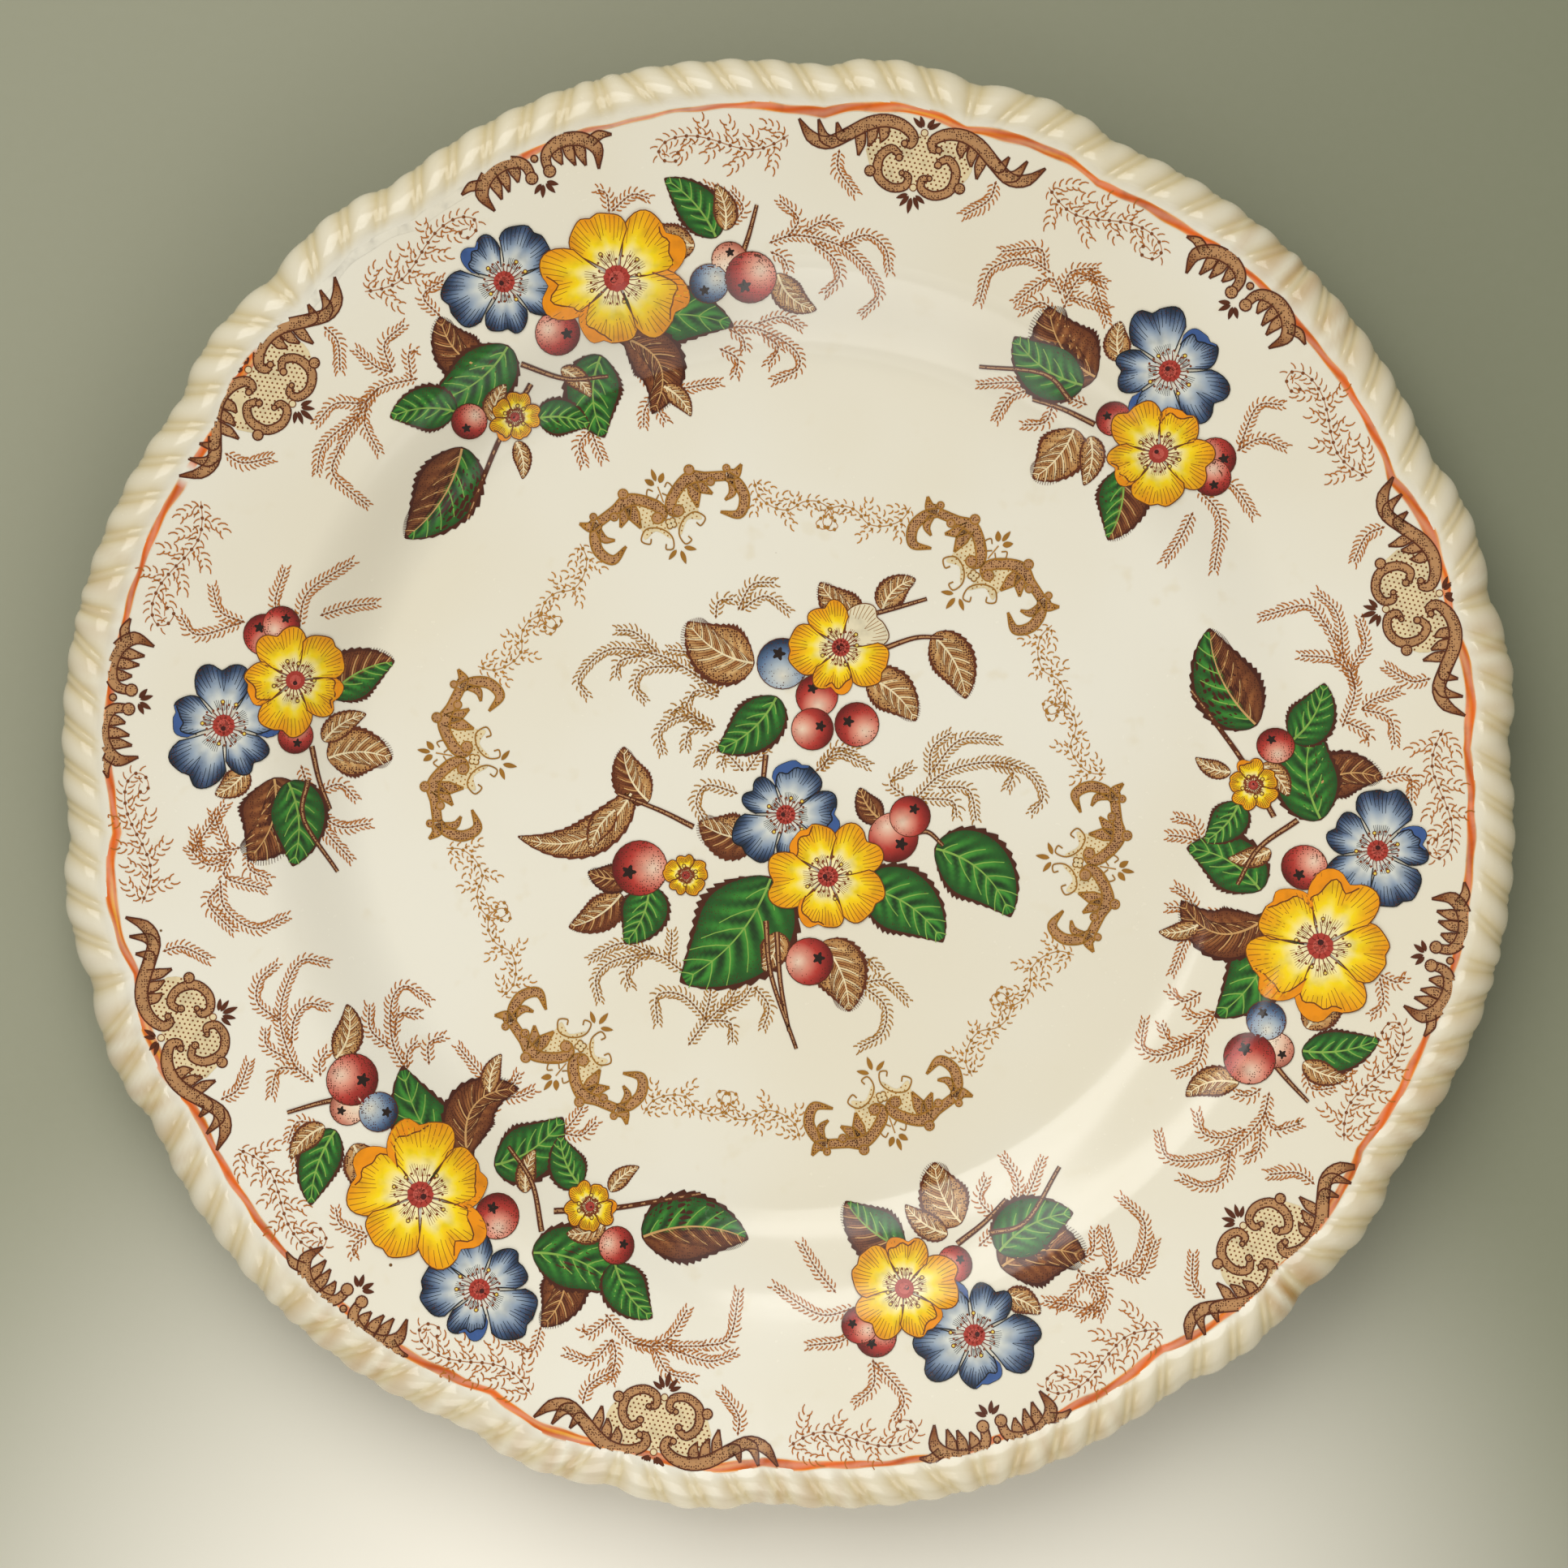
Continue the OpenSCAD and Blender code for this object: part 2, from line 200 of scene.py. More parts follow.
def makeBody():
    # one section carried round the axis, each row a radius and a height at every column
    ribs = gadroon["ribs"]
    inRib = np.array([0, 0.06, 0.12, 0.18, 0.26, 0.38, 0.5, 0.62, 0.74, 0.82, 0.88, 0.94])
    phase = np.tile(inRib, ribs)
    base = gadroon["cuspAt"] + (np.repeat(np.arange(ribs), len(inRib)) + phase) * 360.0 / ribs
    relief = ribRelief(phase)
    rows = []

    def addRow(radius, height, share=None, poolShade=0.0, wanders=True):
        angle = base + (lean(base, share) if share is not None else lean(base, 0.0))
        a = np.radians(angle)
        x = radius * np.cos(a)
        y = radius * np.sin(a)
        z = height + (wander(x, y) if wanders else 0 * x)
        rows.append((x, y, z, np.broadcast_to(poolShade, x.shape)))

    flat = np.zeros_like(base)
    for r in (9, 18, 27, 36, 45, 54, 62, 69, 73, plate["wellRadius"]):
        addRow(flat + r, floorHeight)
    for t in np.linspace(0, 1, plate["wallRows"])[1:]:
        r = plate["wellRadius"] + plate["wallWidth"] * t
        addRow(flat + r, turnedHeight(r))
    inner = innerLine(base + lean(base, 0.0))
    for u in (0.2, 0.4, 0.6, 0.8, 0.93, 1.0):
        r = wallRadius + (inner - wallRadius) * u
        addRow(r, bodyHeight(r, inner))

    def addBand(share, height, depth):
        # ribs stand off the ellipse along its own normal
        angle = base + lean(base, share)
        inside = innerLine(angle)
        width = outerEdge(angle) - inside
        out = np.clip((share - gadroon["crestAt"]) / (1 - gadroon["crestAt"]), 0, 1)
        push = (relief - 0.5) * gadroon["ribDepth"] * depth
        # darkens the glaze over the band, most in the grooves: partly glaze pooled there, partly painted shade
        # in the recesses
        poolShade = (0.62 + 0.62 * np.clip(1 - relief, 0, 1)) * depth
        top = plate["edgeHeight"] + height + push * (1 - out)
        addRow(inside + width * share + push * out, top, share, poolShade)

    for climb, depth in ((0.3, 0.25), (0.65, 0.6)):
        addBand(gadroon["crestAt"] * climb, gadroon["rise"] * climb * climb * (3 - 2 * climb), depth)
    depths = {90: 0.85, 76: 1, 63: 1, 51: 1, 40: 1, 30: 1, 20: 0.95, 10: 0.9, 0: 0.8, -11: 0.6, -22: 0.35}
    for q, depth in depths.items():
        share = gadroon["crestAt"] + (1 - gadroon["crestAt"]) * np.cos(np.radians(q))
        height = (gadroon["rise"] + gadroon["drop"]) * np.sin(np.radians(q)) - gadroon["drop"]
        addBand(share, height, depth)

    # under the rolled lip and back along the underside
    lipRadius = innerLine(base) + (outerEdge(base) - innerLine(base)) * 0.82
    lipHeight = plate["edgeHeight"] - gadroon["drop"] - 2.9
    addRow(lipRadius, lipHeight, 0.5)
    for u, up in ((0.7, 0.25), (0.4, 0.7), (0.15, 0.93)):
        under = turnedHeight(lineRadius - 3) - plate["flangeThickness"]
        r = lineRadius - 4 + (lipRadius - lineRadius + 4) * u
        addRow(r, lipHeight + (under - lipHeight) * up, 0.5)
    for t in np.linspace(1, 0, 8):
        r = plate["wellRadius"] + plate["footOut"] + (lineRadius - 6 - plate["wellRadius"]) * t
        addRow(flat + r, turnedHeight(r) - bodyThickness(r), 0.5, 0.0, t > 0.05)
    foot = plate["wellRadius"] + plate["footOut"]
    width = plate["footWidth"]
    bevel = plate["footRounding"]
    inner = foot - width
    for r, z in ((foot - 0.02, 2.0), (foot - 0.08, bevel), (foot - 0.3, bevel * 0.33), (foot - bevel, 0.0),
                 (inner + bevel, 0.0), (inner + 0.3, bevel * 0.33), (inner + 0.05, bevel), (inner, 2.2),
                 (inner - 0.5, 2.9), (inner - 2, 3.0)):
        addRow(flat + r, z, 0.5, 0.0, False)
    for r in (55.0, 25.0):
        addRow(flat + r, plate["footHeight"], 0.5, 0.0, False)

    count = len(base)
    grid = np.array([np.stack(row[:3], axis=-1) for row in rows])
    pooledShaded = np.concatenate([row[3] for row in rows] + [[0, 0]])
    points = grid.reshape(-1, 3)
    poles = np.array([[0, 0, floorHeight + wander(0.0, 0.0)], [0, 0, plate["footHeight"]]])
    points = np.vstack([points, poles])
    quads = gridFaces(len(rows), count).tolist()
    j = np.arange(count)
    k = (j + 1) % count
    last = (len(rows) - 1) * count
    topFan = np.stack([np.full(count, len(points) - 2), j, k], axis=-1).tolist()
    footFan = np.stack([np.full(count, len(points) - 1), last + k, last + j], axis=-1).tolist()
    faces = quads + topFan + footFan
    return makeMesh("plateBody", points, faces, {"poolShade": pooledShaded, "stain": stains(points)})


# A drawing is laid out flat with complex numbers, x to the right and y upward, then dropped onto the plate.
def colour(code, cover=1.0):
    # six hex digits into linear light, with how much of the glaze it covers
    s = np.array([int(code[i:i + 2], 16) for i in (0, 2, 4)]) / 255.0
    linear = np.where(s < 0.04045, s / 12.92, ((s + 0.055) / 1.055) ** 2.4)
    return np.append(linear, cover)


ink = {
    "dark": colour("55260C"),
    "mid": colour("7C4318"),
    "light": colour("9A6222"),
    "fern": colour("B0661C"),
    "tan": colour("B38558"),
    "ground": colour("DDCBA0"),
    "gold": colour("C08A2E"),
    "black": colour("23140C"),
}
layering = {
    "lift": 0.055,            # of the lowest layer over the glaze
    "step": 0.007,            # between layers
    "overRibs": 0.6,          # how far a drawing may run past the ribs' inner line
    "leafStep": 2.5,          # layers from a leaf to one that lies on it
}
dice = np.random.default_rng(11)


def newSheet(fern=ink["fern"], bead=ink["mid"]):
    # an empty drawing, with the tones of its ferns and of the beads on their stems
    empty = {key: [] for key in ("xy", "layer", "paint", "grain", "faces")}
    return {"fern": fern, "bead": bead, "count": 0, **empty}


def addShape(sheet, place, xy, polygons, paint, grain, layer):
    # flat points and polygons, turned to face upwards and left out where they would run onto the ribs
    spots = place(xy.ravel())
    n = len(spots)
    over = np.abs(spots) - innerLine(np.degrees(np.angle(spots)))
    polygons = polygons[over[polygons].max(axis=1) < layering["overRibs"]]
    corners = spots[polygons]
    area = np.sum(np.imag(np.conj(corners) * np.roll(corners, -1, axis=1)), axis=1)
    polygons = np.where((area < 0)[:, None], polygons[:, ::-1], polygons)
    sheet["xy"].append(spots)
    sheet["layer"].append(np.full(n, float(layer)))
    sheet["paint"].append(np.broadcast_to(np.reshape(paint, (-1, 4)), (n, 4)))
    sheet["grain"].append(np.broadcast_to(np.ravel(grain), (n,)))
    sheet["faces"].append(polygons + sheet["count"])
    sheet["count"] += n


def ribbonQuads(rows, columns):
    # quads of an open grid
    i = np.arange(rows - 1)[:, None]
    j = np.arange(columns - 1)[None, :]
    a = i * columns + j
    return np.stack([a, a + columns, a + columns + 1, a + 1], axis=-1).reshape(-1, 4)


def mix(a, b, share):
    # a at share 0, b at share 1, straight between
    share = np.clip(np.asarray(share, float), 0, 1)[..., None]
    return a * (1 - share) + b * share


def heading(path):
    # the path's direction at each point, as a complex number of length 1
    step = np.gradient(path)
    return step / np.maximum(np.abs(step), 1e-9)


def curve(points, n=24):
    # a smooth path through a few points, by the cubic of Catmull and Rom
    p = np.asarray(points, complex)
    p = np.concatenate([[2 * p[0] - p[1]], p, [2 * p[-1] - p[-2]]])
    t = np.linspace(0, len(p) - 3 - 1e-9, n)
    k = t.astype(int)
    f = t - k
    a, b, c, d = p[k], p[k + 1], p[k + 2], p[k + 3]
    bend = (2 * a - 5 * b + 4 * c - d) * f ** 2 + (3 * b - a - 3 * c + d) * f ** 3
    return 0.5 * (2 * b + (c - a) * f + bend)


def arc(start, end, bow=0.0, n=20):
    # a parabola from start to end, which stands off the straight line by the bow's share of its length
    t = np.linspace(0, 1, n)
    return start + (end - start) * (t + 4j * bow * t * (1 - t))


def along(path, spacing):
    # points at even spacing along a path, with the heading and the share of the length there
    run = np.concatenate([[0], np.cumsum(np.abs(np.diff(path)))])
    at = np.arange(spacing / 2, run[-1], spacing)
    h = heading(path)
    spots = np.interp(at, run, path.real) + 1j * np.interp(at, run, path.imag)
    turn = np.interp(at, run, h.real) + 1j * np.interp(at, run, h.imag)
    return spots, turn / np.maximum(np.abs(turn), 1e-9), at / run[-1]


def stroke(sheet, place, path, width, paint, layer=4, grain=0.0):
    # a line with half its width to either side of the path
    side = 1j * heading(path) * np.asarray(width) / 2
    paint = np.repeat(np.reshape(paint, (-1, 4)), 2 if np.ndim(paint) == 2 else 1, axis=0)
    edges = np.stack([path - side, path + side], axis=1)
    addShape(sheet, place, edges, ribbonQuads(len(path), 2), paint, grain, layer)


def dots(sheet, place, centres, radius, paint, layer=5, sides=6, grain=0.0):
    # small regular polygons
    turn = np.exp(2j * np.pi * np.arange(sides) / sides)
    centres = np.atleast_1d(centres)
    xy = centres[:, None] + np.broadcast_to(radius, centres.shape)[:, None] * turn[None, :]
    paint = np.repeat(paint, sides, axis=0) if np.ndim(paint) == 2 else paint
    addShape(sheet, place, xy, np.arange(len(centres) * sides).reshape(-1, sides), paint, grain, layer)


def barbs(sheet, place, spots, towards, length, curl, paint, width=0.26, layer=4):
    # many short strokes: each sets out on its heading and turns evenly by its curl, in degrees
    s = np.linspace(0, 1, 4)[None, :]
    n = len(spots)
    bent = np.radians(np.broadcast_to(curl, n))[:, None]
    towards = np.broadcast_to(towards, n)[:, None]
    length = np.broadcast_to(length, n)[:, None]
    path = spots[:, None] + towards * length * (np.exp(1j * bent * s) - 1) / (1j * bent)
    side = 1j * towards * np.exp(1j * bent * s) * width / 2 * (1 - 0.35 * s)
    quads = np.arange(n)[:, None, None] * 8 + ribbonQuads(4, 2)[None]
    edges = np.stack([path - side, path + side], axis=2)
    addShape(sheet, place, edges, quads.reshape(-1, 4), paint, 0.0, layer)


def panel(sheet, place, axis, half, shade, layer=1, across=7):
    # a filled strip: points at shares -1 to 1 of the half width, coloured by shade(u, v)
    v = np.linspace(-1, 1, across)[None, :]
    u = np.linspace(0, 1, len(axis))[:, None]
    xy = axis[:, None] + 1j * heading(axis)[:, None] * np.asarray(half)[:, None] * v
    u, v = np.broadcast_arrays(u, v)
    paint, grain = shade(u.ravel(), v.ravel())
    addShape(sheet, place, xy, ribbonQuads(len(axis), across), paint, grain, layer)


def blob(sheet, place, centre, outline, shade, layer=1, rings=4):
    # a filled outline round a centre: rings at shares of the way out, coloured by shade(rho, angle)
    rho = np.linspace(0, 1, rings + 1)[1:, None]
    xy = np.concatenate([[centre], (centre + rho * (outline - centre)[None, :]).ravel()])
    n = len(outline)
    quads = 1 + gridFaces(rings, n)
    first = np.arange(n)
    hub = np.stack([0 * first, 1 + first, 1 + (first + 1) % n], axis=-1)
    turn = np.angle(outline - centre)
    r = np.concatenate([[0], np.repeat(rho.ravel(), n)])
    a = np.concatenate([[0], np.tile(turn, rings)])
    paint, grain = shade(r, a)
    paint = np.broadcast_to(np.reshape(paint, (-1, 4)), (len(r), 4))
    grain = np.broadcast_to(grain, r.shape)
    addShape(sheet, place, xy, quads, paint, grain, layer)
    addShape(sheet, place, xy[:n + 1], hub, paint[:n + 1], grain[:n + 1], layer)


def ring(centre, radius, n):
    # n points evenly round a circle
    return centre + radius * np.exp(2j * np.pi * np.arange(n) / n)


def pose(where=0.0, turn=0.0, mirrored=False):
    # puts a drawing down: mirrored first, then turned by degrees and moved
    spin = np.exp(1j * np.radians(turn))
    return lambda z: (-np.conj(z) if mirrored else z) * spin + where


def inside(outer, inner):
    # a placement within another: the inner one first
    return lambda z: outer(inner(z))


def layDown(sheet, name, node, golden=0.0):
    # drops the drawing onto the glaze, each layer a hair over the one under it; golden warms its browns
    used = np.zeros(sheet["count"], bool)
    used[np.concatenate([faces.ravel() for faces in sheet["faces"]])] = True
    renumber = np.cumsum(used) - 1
    faces = [face for group in sheet["faces"] for face in renumber[group].tolist()]
    xy = np.concatenate(sheet["xy"])[used]
    over = layering["lift"] + layering["step"] * np.concatenate(sheet["layer"])[used]
    z = topHeight(xy.real, xy.imag) + over
    paint = np.vstack(sheet["paint"])[used]
    brown = (paint[:, :1] > paint[:, 1:2] * 1.5) & (paint[:, :1] < 0.45)
    paint = np.where(brown, mix(paint, ink["gold"], golden), paint)
    attributes = {"paint": paint, "grain": np.concatenate(sheet["grain"])[used]}
    piece = makeMesh(name, np.stack([xy.real, xy.imag, z], axis=-1), faces, attributes)
    piece.data.materials.append(printFinish)
    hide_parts(node)
    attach(piece, "root")
    print(name, "drawn:", sum(len(face) - 2 for face in faces), "triangles")
    return piece


def frond(sheet, place, path, reach=1.7, spacing=0.86):
    # a beaded stem with a comb of curved barbs on each side, which shorten towards the tip
    spots, turn, share = along(path, spacing)
    stroke(sheet, place, path, 0.17, sheet["fern"], 3)
    dots(sheet, place, spots, 0.26 - 0.05 * share, sheet["bead"], 5)
    size = reach * (0.62 + 0.38 * np.sin(np.pi * (0.1 + 0.8 * share)))
    for sign in (1, -1):
        jitter = 1 + 0.12 * dice.standard_normal(len(spots))
        start = spots + turn * (1j * sign * 0.36 + 0.4)
        towards = turn * np.exp(1j * sign * np.radians(80 - 26 * share))
        run = np.maximum(size * jitter - 0.3, 0.35)
        barbs(sheet, place, start, towards, run, -sign * 55, sheet["fern"], 0.3)


def scrollFern(sheet, place, path, side=1, branch=4.7, comma=1.9):
    # a beaded stem that ends in a coil, and off it short combs of comma strokes, alternately to each side
    stroke(sheet, place, path, 0.14, sheet["fern"], 3)
    dots(sheet, place, along(path, 2.0)[0], 0.33, sheet["bead"], 6, 7)
    spots, turn, share = along(path, 2.5)
    for k in range(int(len(spots) * 0.66)):
        sign = side if k % 2 else -side
        reach = branch * (1 - 0.35 * share[k]) * (0.85 + 0.3 * dice.random())
        way = turn[k] * np.exp(1j * sign * np.radians(100))
        bend = -1j * sign * 1.1
        twigPath = spots[k] + way * reach * (np.exp(bend * np.linspace(0, 1, 12)) - 1) / bend
        at, head, far = along(twigPath, 1.1)
        for hand in (1, -1):
            size = comma * (0.8 + 0.25 * far) * (1 if hand == sign else 0.8)
            size = size * (0.9 + 0.2 * dice.random(len(at)))
            towards = head * np.exp(1j * hand * np.radians(86 - 22 * far))
            barbs(sheet, place, at + head * 1j * hand * 0.25, towards, size, -hand * 85, sheet["fern"], 0.3)
    at, head, far = along(path[: int(len(path) * 0.66)], 1.25)
    for hand in (1, -1):
        towards = head * np.exp(1j * hand * np.radians(80))
        start = at + head * 1j * hand * 0.45
        barbs(sheet, place, start, towards, comma * 0.75, -hand * 60, sheet["fern"], 0.25)


def teardrop(sheet, place, base, tip, half):
    # a small dark pointed drop, widest before its middle
    axis = arc(base, tip, 0, 9)
    u = np.linspace(0, 1, 9)
    width = half * np.sin(np.pi * u ** 0.8) ** 0.8
    panel(sheet, place, axis, width, lambda u, v: (ink["dark"], 0), 6, 3)


def limb(sheet, place, points, widths, darkEnd=0.12, layer=6, n=30):
    # a scroll arm: tan ground under fine stipple, dark outline, dark tip
    axis = curve(points, n)
    half = np.interp(np.linspace(0, 1, n), np.linspace(0, 1, len(widths)), widths)
    side = 1j * heading(axis)

    def shade(u, v):
        dark = np.clip((u - 1 + darkEnd) / darkEnd * 1.5, 0, 1)
        edge = np.clip((np.abs(v) - 0.55) / 0.45, 0, 1) * 0.55
        return mix(ink["tan"], ink["mid"], np.maximum(dark, edge)), 0.55

    panel(sheet, place, axis, half, shade, layer, 5)
    stroke(sheet, place, axis + side * half, 0.3, ink["dark"], layer + 1)
    stroke(sheet, place, axis - side * half, 0.26, ink["dark"], layer + 1)


def knob(sheet, place, centre, radius):
    # a tan bead with a dark rim
    dots(sheet, place, [centre], radius, ink["dark"], 8, 14)
    dots(sheet, place, [centre], radius - 0.27, ink["tan"], 9, 14, 0.5)


def dottedGround(sheet, place, outline, spacing=0.9, radius=0.21):
    # pale tan under rows of dots set alternately, kept inside the outline by the winding rule
    outline = np.asarray(outline, complex)
    middle = outline.mean()
    rounded = curve(np.append(outline, outline[0]), 33)[:-1]
    blob(sheet, place, middle, rounded, lambda r, a: (ink["ground"], 0), 1, 2)
    x = np.arange(outline.real.min(), outline.real.max(), spacing)
    y = np.arange(outline.imag.min(), outline.imag.max(), spacing * 0.85)
    grid = x[None, :] + 1j * y[:, None] + (np.arange(len(y)) % 2)[:, None] * spacing / 2
    around = (outline[None, :] - grid.ravel()[:, None])
    winding = np.angle(np.roll(around, -1, axis=1) / around).sum(axis=1)
    spots = grid.ravel()[np.abs(winding) > 3]
    dots(sheet, place, spots, radius, ink["mid"], 3, 5)


def tones(t, *stops):
    # colour along a scale of (place, colour) stops
    places = [stop[0] for stop in stops]
    table = np.array([stop[1] for stop in stops])
    return np.stack([np.interp(t, places, table[:, c]) for c in range(4)], axis=-1)


leafLooks = {
    "green": {"blade": colour("2B7428"), "bright": colour("4C9A36"), "shadow": colour("1B2C14"),
              "vein": colour("84AA4A"), "rim": colour("4A200E"), "grain": 0.35},
    "brown": {"blade": colour("CFA468"), "bright": colour("E2C48E"), "shadow": colour("96581F"),
              "vein": colour("EAD9B0"), "rim": colour("5E2B10"), "grain": 0.62},
    "russet": {"blade": colour("8C4F28"), "bright": colour("A8703C"), "shadow": colour("4A1E0C"),
               "vein": colour("C99C62"), "rim": colour("451B0A"), "grain": 0.5},
}


def leaf(sheet, place, layer, base, tip, width, look, bow=0.1, other=None, veins=6):
    # an ovate blade: a toothed dark rim, the painted blade over it, its veins on top
    n = 64
    u = np.linspace(0, 1, n)
    axis = arc(base, tip, bow, n)
    half = width / 2 * np.sin(np.pi * u ** 0.74) ** 0.82
    teeth = 1 + 0.12 * ((u * 12) % 1.0) * (u > 0.07) * (u < 0.96)
    first = leafLooks[look]
    second = leafLooks[other or look]

    def shade(u, v):
        phase = (u * veins - np.abs(v) * 1.5 + 0.5) % 1.0
        between = 1 - np.abs(phase - 0.5) * 2
        blotch = np.clip(between * 2.4 - 0.7, 0, 1) * np.clip(1.3 - np.abs(v) * 1.35, 0, 1)
        blotch = np.maximum(blotch, np.clip((0.16 - u) / 0.16, 0, 1) * 0.8)
        paint = 0
        for look, share in ((first, v < 0), (second, v >= 0)):
            tone = mix(look["blade"], look["bright"], np.clip(1 - between * 1.4, 0, 1) * (1 - np.abs(v)))
            tone = mix(tone, look["shadow"], blotch * 0.9)
            tone = mix(tone, look["shadow"], np.clip((np.abs(v) - 0.5) / 0.5, 0, 1) * 0.75)
            paint = paint + tone * share[:, None]
        return paint, np.where(v < 0, first["grain"], second["grain"]) * (0.25 + np.abs(v))

    panel(sheet, place, axis, half * teeth + 0.12, lambda u, v: (first["rim"], 0), layer, 13)
    panel(sheet, place, axis[1:-2], half[1:-2] * 0.93, shade, layer + 0.8, 15)
    stroke(sheet, place, axis[1:-6], np.linspace(0.42, 0.16, n - 7), first["vein"], layer + 2.3)
    spots, turn, share = along(axis, abs(tip - base) / veins)
    reach = np.interp(share, u, half) * 1.05
    for sign, tone in ((1, second["vein"]), (-1, first["vein"])):
        towards = turn * np.exp(1j * sign * np.radians(52))
        barbs(sheet, place, spots, towards, reach * 0.86, -sign * 24, tone, 0.24, layer + 1.6)
        if (second if sign > 0 else first)["grain"] > 0.4:
            fine, way, at = along(axis, 0.55)
            towards = way * np.exp(1j * sign * np.radians(50))
            size = np.interp(at, u, half) * 1.1
            barbs(sheet, place, fine, towards, size, -sign * 20, first["rim"], 0.13, layer + 1.6)


flowerLooks = {
    "yellow": {"stops": ((0, colour("E9DDB4")), (0.33, colour("F2E7B0")), (0.52, colour("F4D80C")),
                         (0.74, colour("EDB106")), (1, colour("E18A04"))),
               "fold": colour("E88E05"), "hatch": colour("8E5E0C"), "line": colour("6B3A0C"), "grain": 0.0},
    "blue": {"stops": ((0, colour("D9D6C4")), (0.4, colour("D0D3CB")), (0.62, colour("8E9FB2")),
                       (0.8, colour("3C5274")), (0.93, colour("1A2638")), (1, colour("10161E"))),
             "fold": colour("3A588F"), "hatch": colour("121A24"), "line": colour("15161A"), "grain": 0.6},
    "pale": {"stops": ((0, colour("E3D8B8")), (1, colour("DDD2B2"))),
             "fold": colour("E0D6B8"), "hatch": colour("9A7040"), "line": colour("6B3A0C"), "grain": 0.0},
}


def petal(sheet, place, centre, radius, toward, look, layer, spread, fold, wave):
    # a sector whose edge is rounded at its sides and notched in its middle, coloured from heart to edge
    look = flowerLooks[look]
    v = np.linspace(-1, 1, 21)
    u = np.linspace(0, 1, 10)[:, None]
    notch = 0.08 * np.exp(-(v / 0.15) ** 2)
    edge = radius * (1 - 0.3 * np.abs(v) ** 4 - notch + 0.035 * np.sin(6 * v + 2.2 * wave))
    fan = np.exp(1j * np.radians(toward + spread * v[None, :] * (0.62 + 0.38 * u ** 0.6)))
    xy = centre + edge[None, :] * u * fan
    t = (u * (0.94 + 0.06 * np.cos(9 * v + wave))[None, :]).ravel()
    paint = tones(t, *look["stops"])
    grain = look["grain"] * np.clip((t - 0.55) * 2.2, 0, 1)
    addShape(sheet, place, xy, ribbonQuads(10, 21), paint, grain, layer)
    rim = xy[-1]
    outline = np.concatenate([xy[4:-1, 0], rim, xy[-2:3:-1, -1]])
    stroke(sheet, place, outline, 0.2, look["line"], layer + 0.6)
    # hatching runs in from the edge, and a little way out from the heart
    at = np.linspace(-0.86, 0.86, 15)
    outer = np.interp(at, v, rim.real) + 1j * np.interp(at, v, rim.imag)
    inward = (centre - outer) / np.abs(centre - outer)
    size = radius * (0.16 + 0.14 * np.abs(np.sin(5.3 * at + wave)) + 0.06 * dice.random(15))
    curl = 8 * np.sign(at + 0.01)
    barbs(sheet, place, outer + inward * 0.3, inward, size, curl, look["hatch"], 0.15, layer + 0.4)
    heart = centre + (outer[3:-3] - centre) * 0.26
    barbs(sheet, place, heart, -inward[3:-3], radius * 0.16, 4, look["hatch"], 0.12, layer + 0.4)
    if fold:
        # the edge folded over: a flat patch with a scalloped inner line
        turned = np.clip(v * np.sign(fold) + 0.25, 0, 1)
        depth = abs(fold) * (0.75 + 0.25 * np.cos(9 * v + wave)) * np.sqrt(turned)
        share = np.linspace(1, 0, 5)[None, :]
        patch = (rim[:, None] + (centre - rim)[:, None] * depth[:, None] * share)[turned > 0]
        addShape(sheet, place, patch, ribbonQuads(len(patch), 5), look["fold"], 0.0, layer + 0.7)
        stroke(sheet, place, patch[:, 0], 0.26, look["line"], layer + 0.8)


def flower(sheet, place, centre, radius, look, turn, layer, folds):
    # five petals that overlap in turn, a lumpy red heart and a ring of stamens
    for k in range(5):
        kind = look[k] if isinstance(look, tuple) else look
        uneven = (1, 0.84, 1.06, 0.86, 0.98)[k] if kind == "blue" else (1, 0.92, 1.04, 0.9, 1.0)[k]
        spread = (43, 38, 42, 39, 41)[k] * (0.88 if kind == "blue" else 0.95)
        petal(sheet, place, centre, radius * uneven, turn + 72 * k, kind, layer + k, spread, folds[k],
              k * 1.7 + turn)
    a = np.radians(np.linspace(0, 360, 22, endpoint=False) + turn)
    inner = centre + radius * 0.15 * np.exp(1j * a)
    reach = radius * (0.10 + 0.10 * np.abs(np.sin(a * 2.6 + turn)))
    barbs(sheet, place, inner, np.exp(1j * a), reach, 22, colour("7A2E14"), 0.2, layer + 7)
    dots(sheet, place, inner + np.exp(1j * a) * reach, 0.24, colour("7A3A14"), layer + 8, 6)
    anthers = inner[::5] + np.exp(1j * a[::5]) * (reach[::5] + 0.5)
    dots(sheet, place, anthers, 0.42, colour("6B3A0C"), layer + 8, 8)
    dots(sheet, place, anthers, 0.24, colour("E4C95A"), layer + 9, 8)
    heart = radius * 0.17
    lumps = centre + heart * 0.72 * np.exp(1j * a[::2])
    blob(sheet, place, centre, ring(centre, heart, 16), lambda r, a: (colour("9A3124"), 0), layer + 9, 2)
    dots(sheet, place, lumps, heart * 0.36, colour("A8382C"), layer + 9.5, 8)
    dots(sheet, place, lumps * 0.5 + centre * 0.5, heart * 0.26, colour("C25548"), layer + 10, 7)
    dots(sheet, place, [centre - heart * 0.3], heart * 0.26, colour("3E120E"), layer + 10.5, 7)


berryLooks = {
    "red": ((0, colour("E6CDB4")), (0.45, colour("D98E78")), (0.85, colour("B4382E")),
            (1.3, colour("7A1D18")), (1.6, colour("4A0F10"))),
    "pink": ((0, colour("EBDDC4")), (0.7, colour("E2BBA0")), (1.2, colour("C98068")),
             (1.6, colour("8A4030"))),
    "blue": ((0, colour("DDD8C6")), (0.5, colour("A8B4BC")), (0.95, colour("5A7394")),
             (1.35, colour("22324A")), (1.6, colour("121820"))),
}


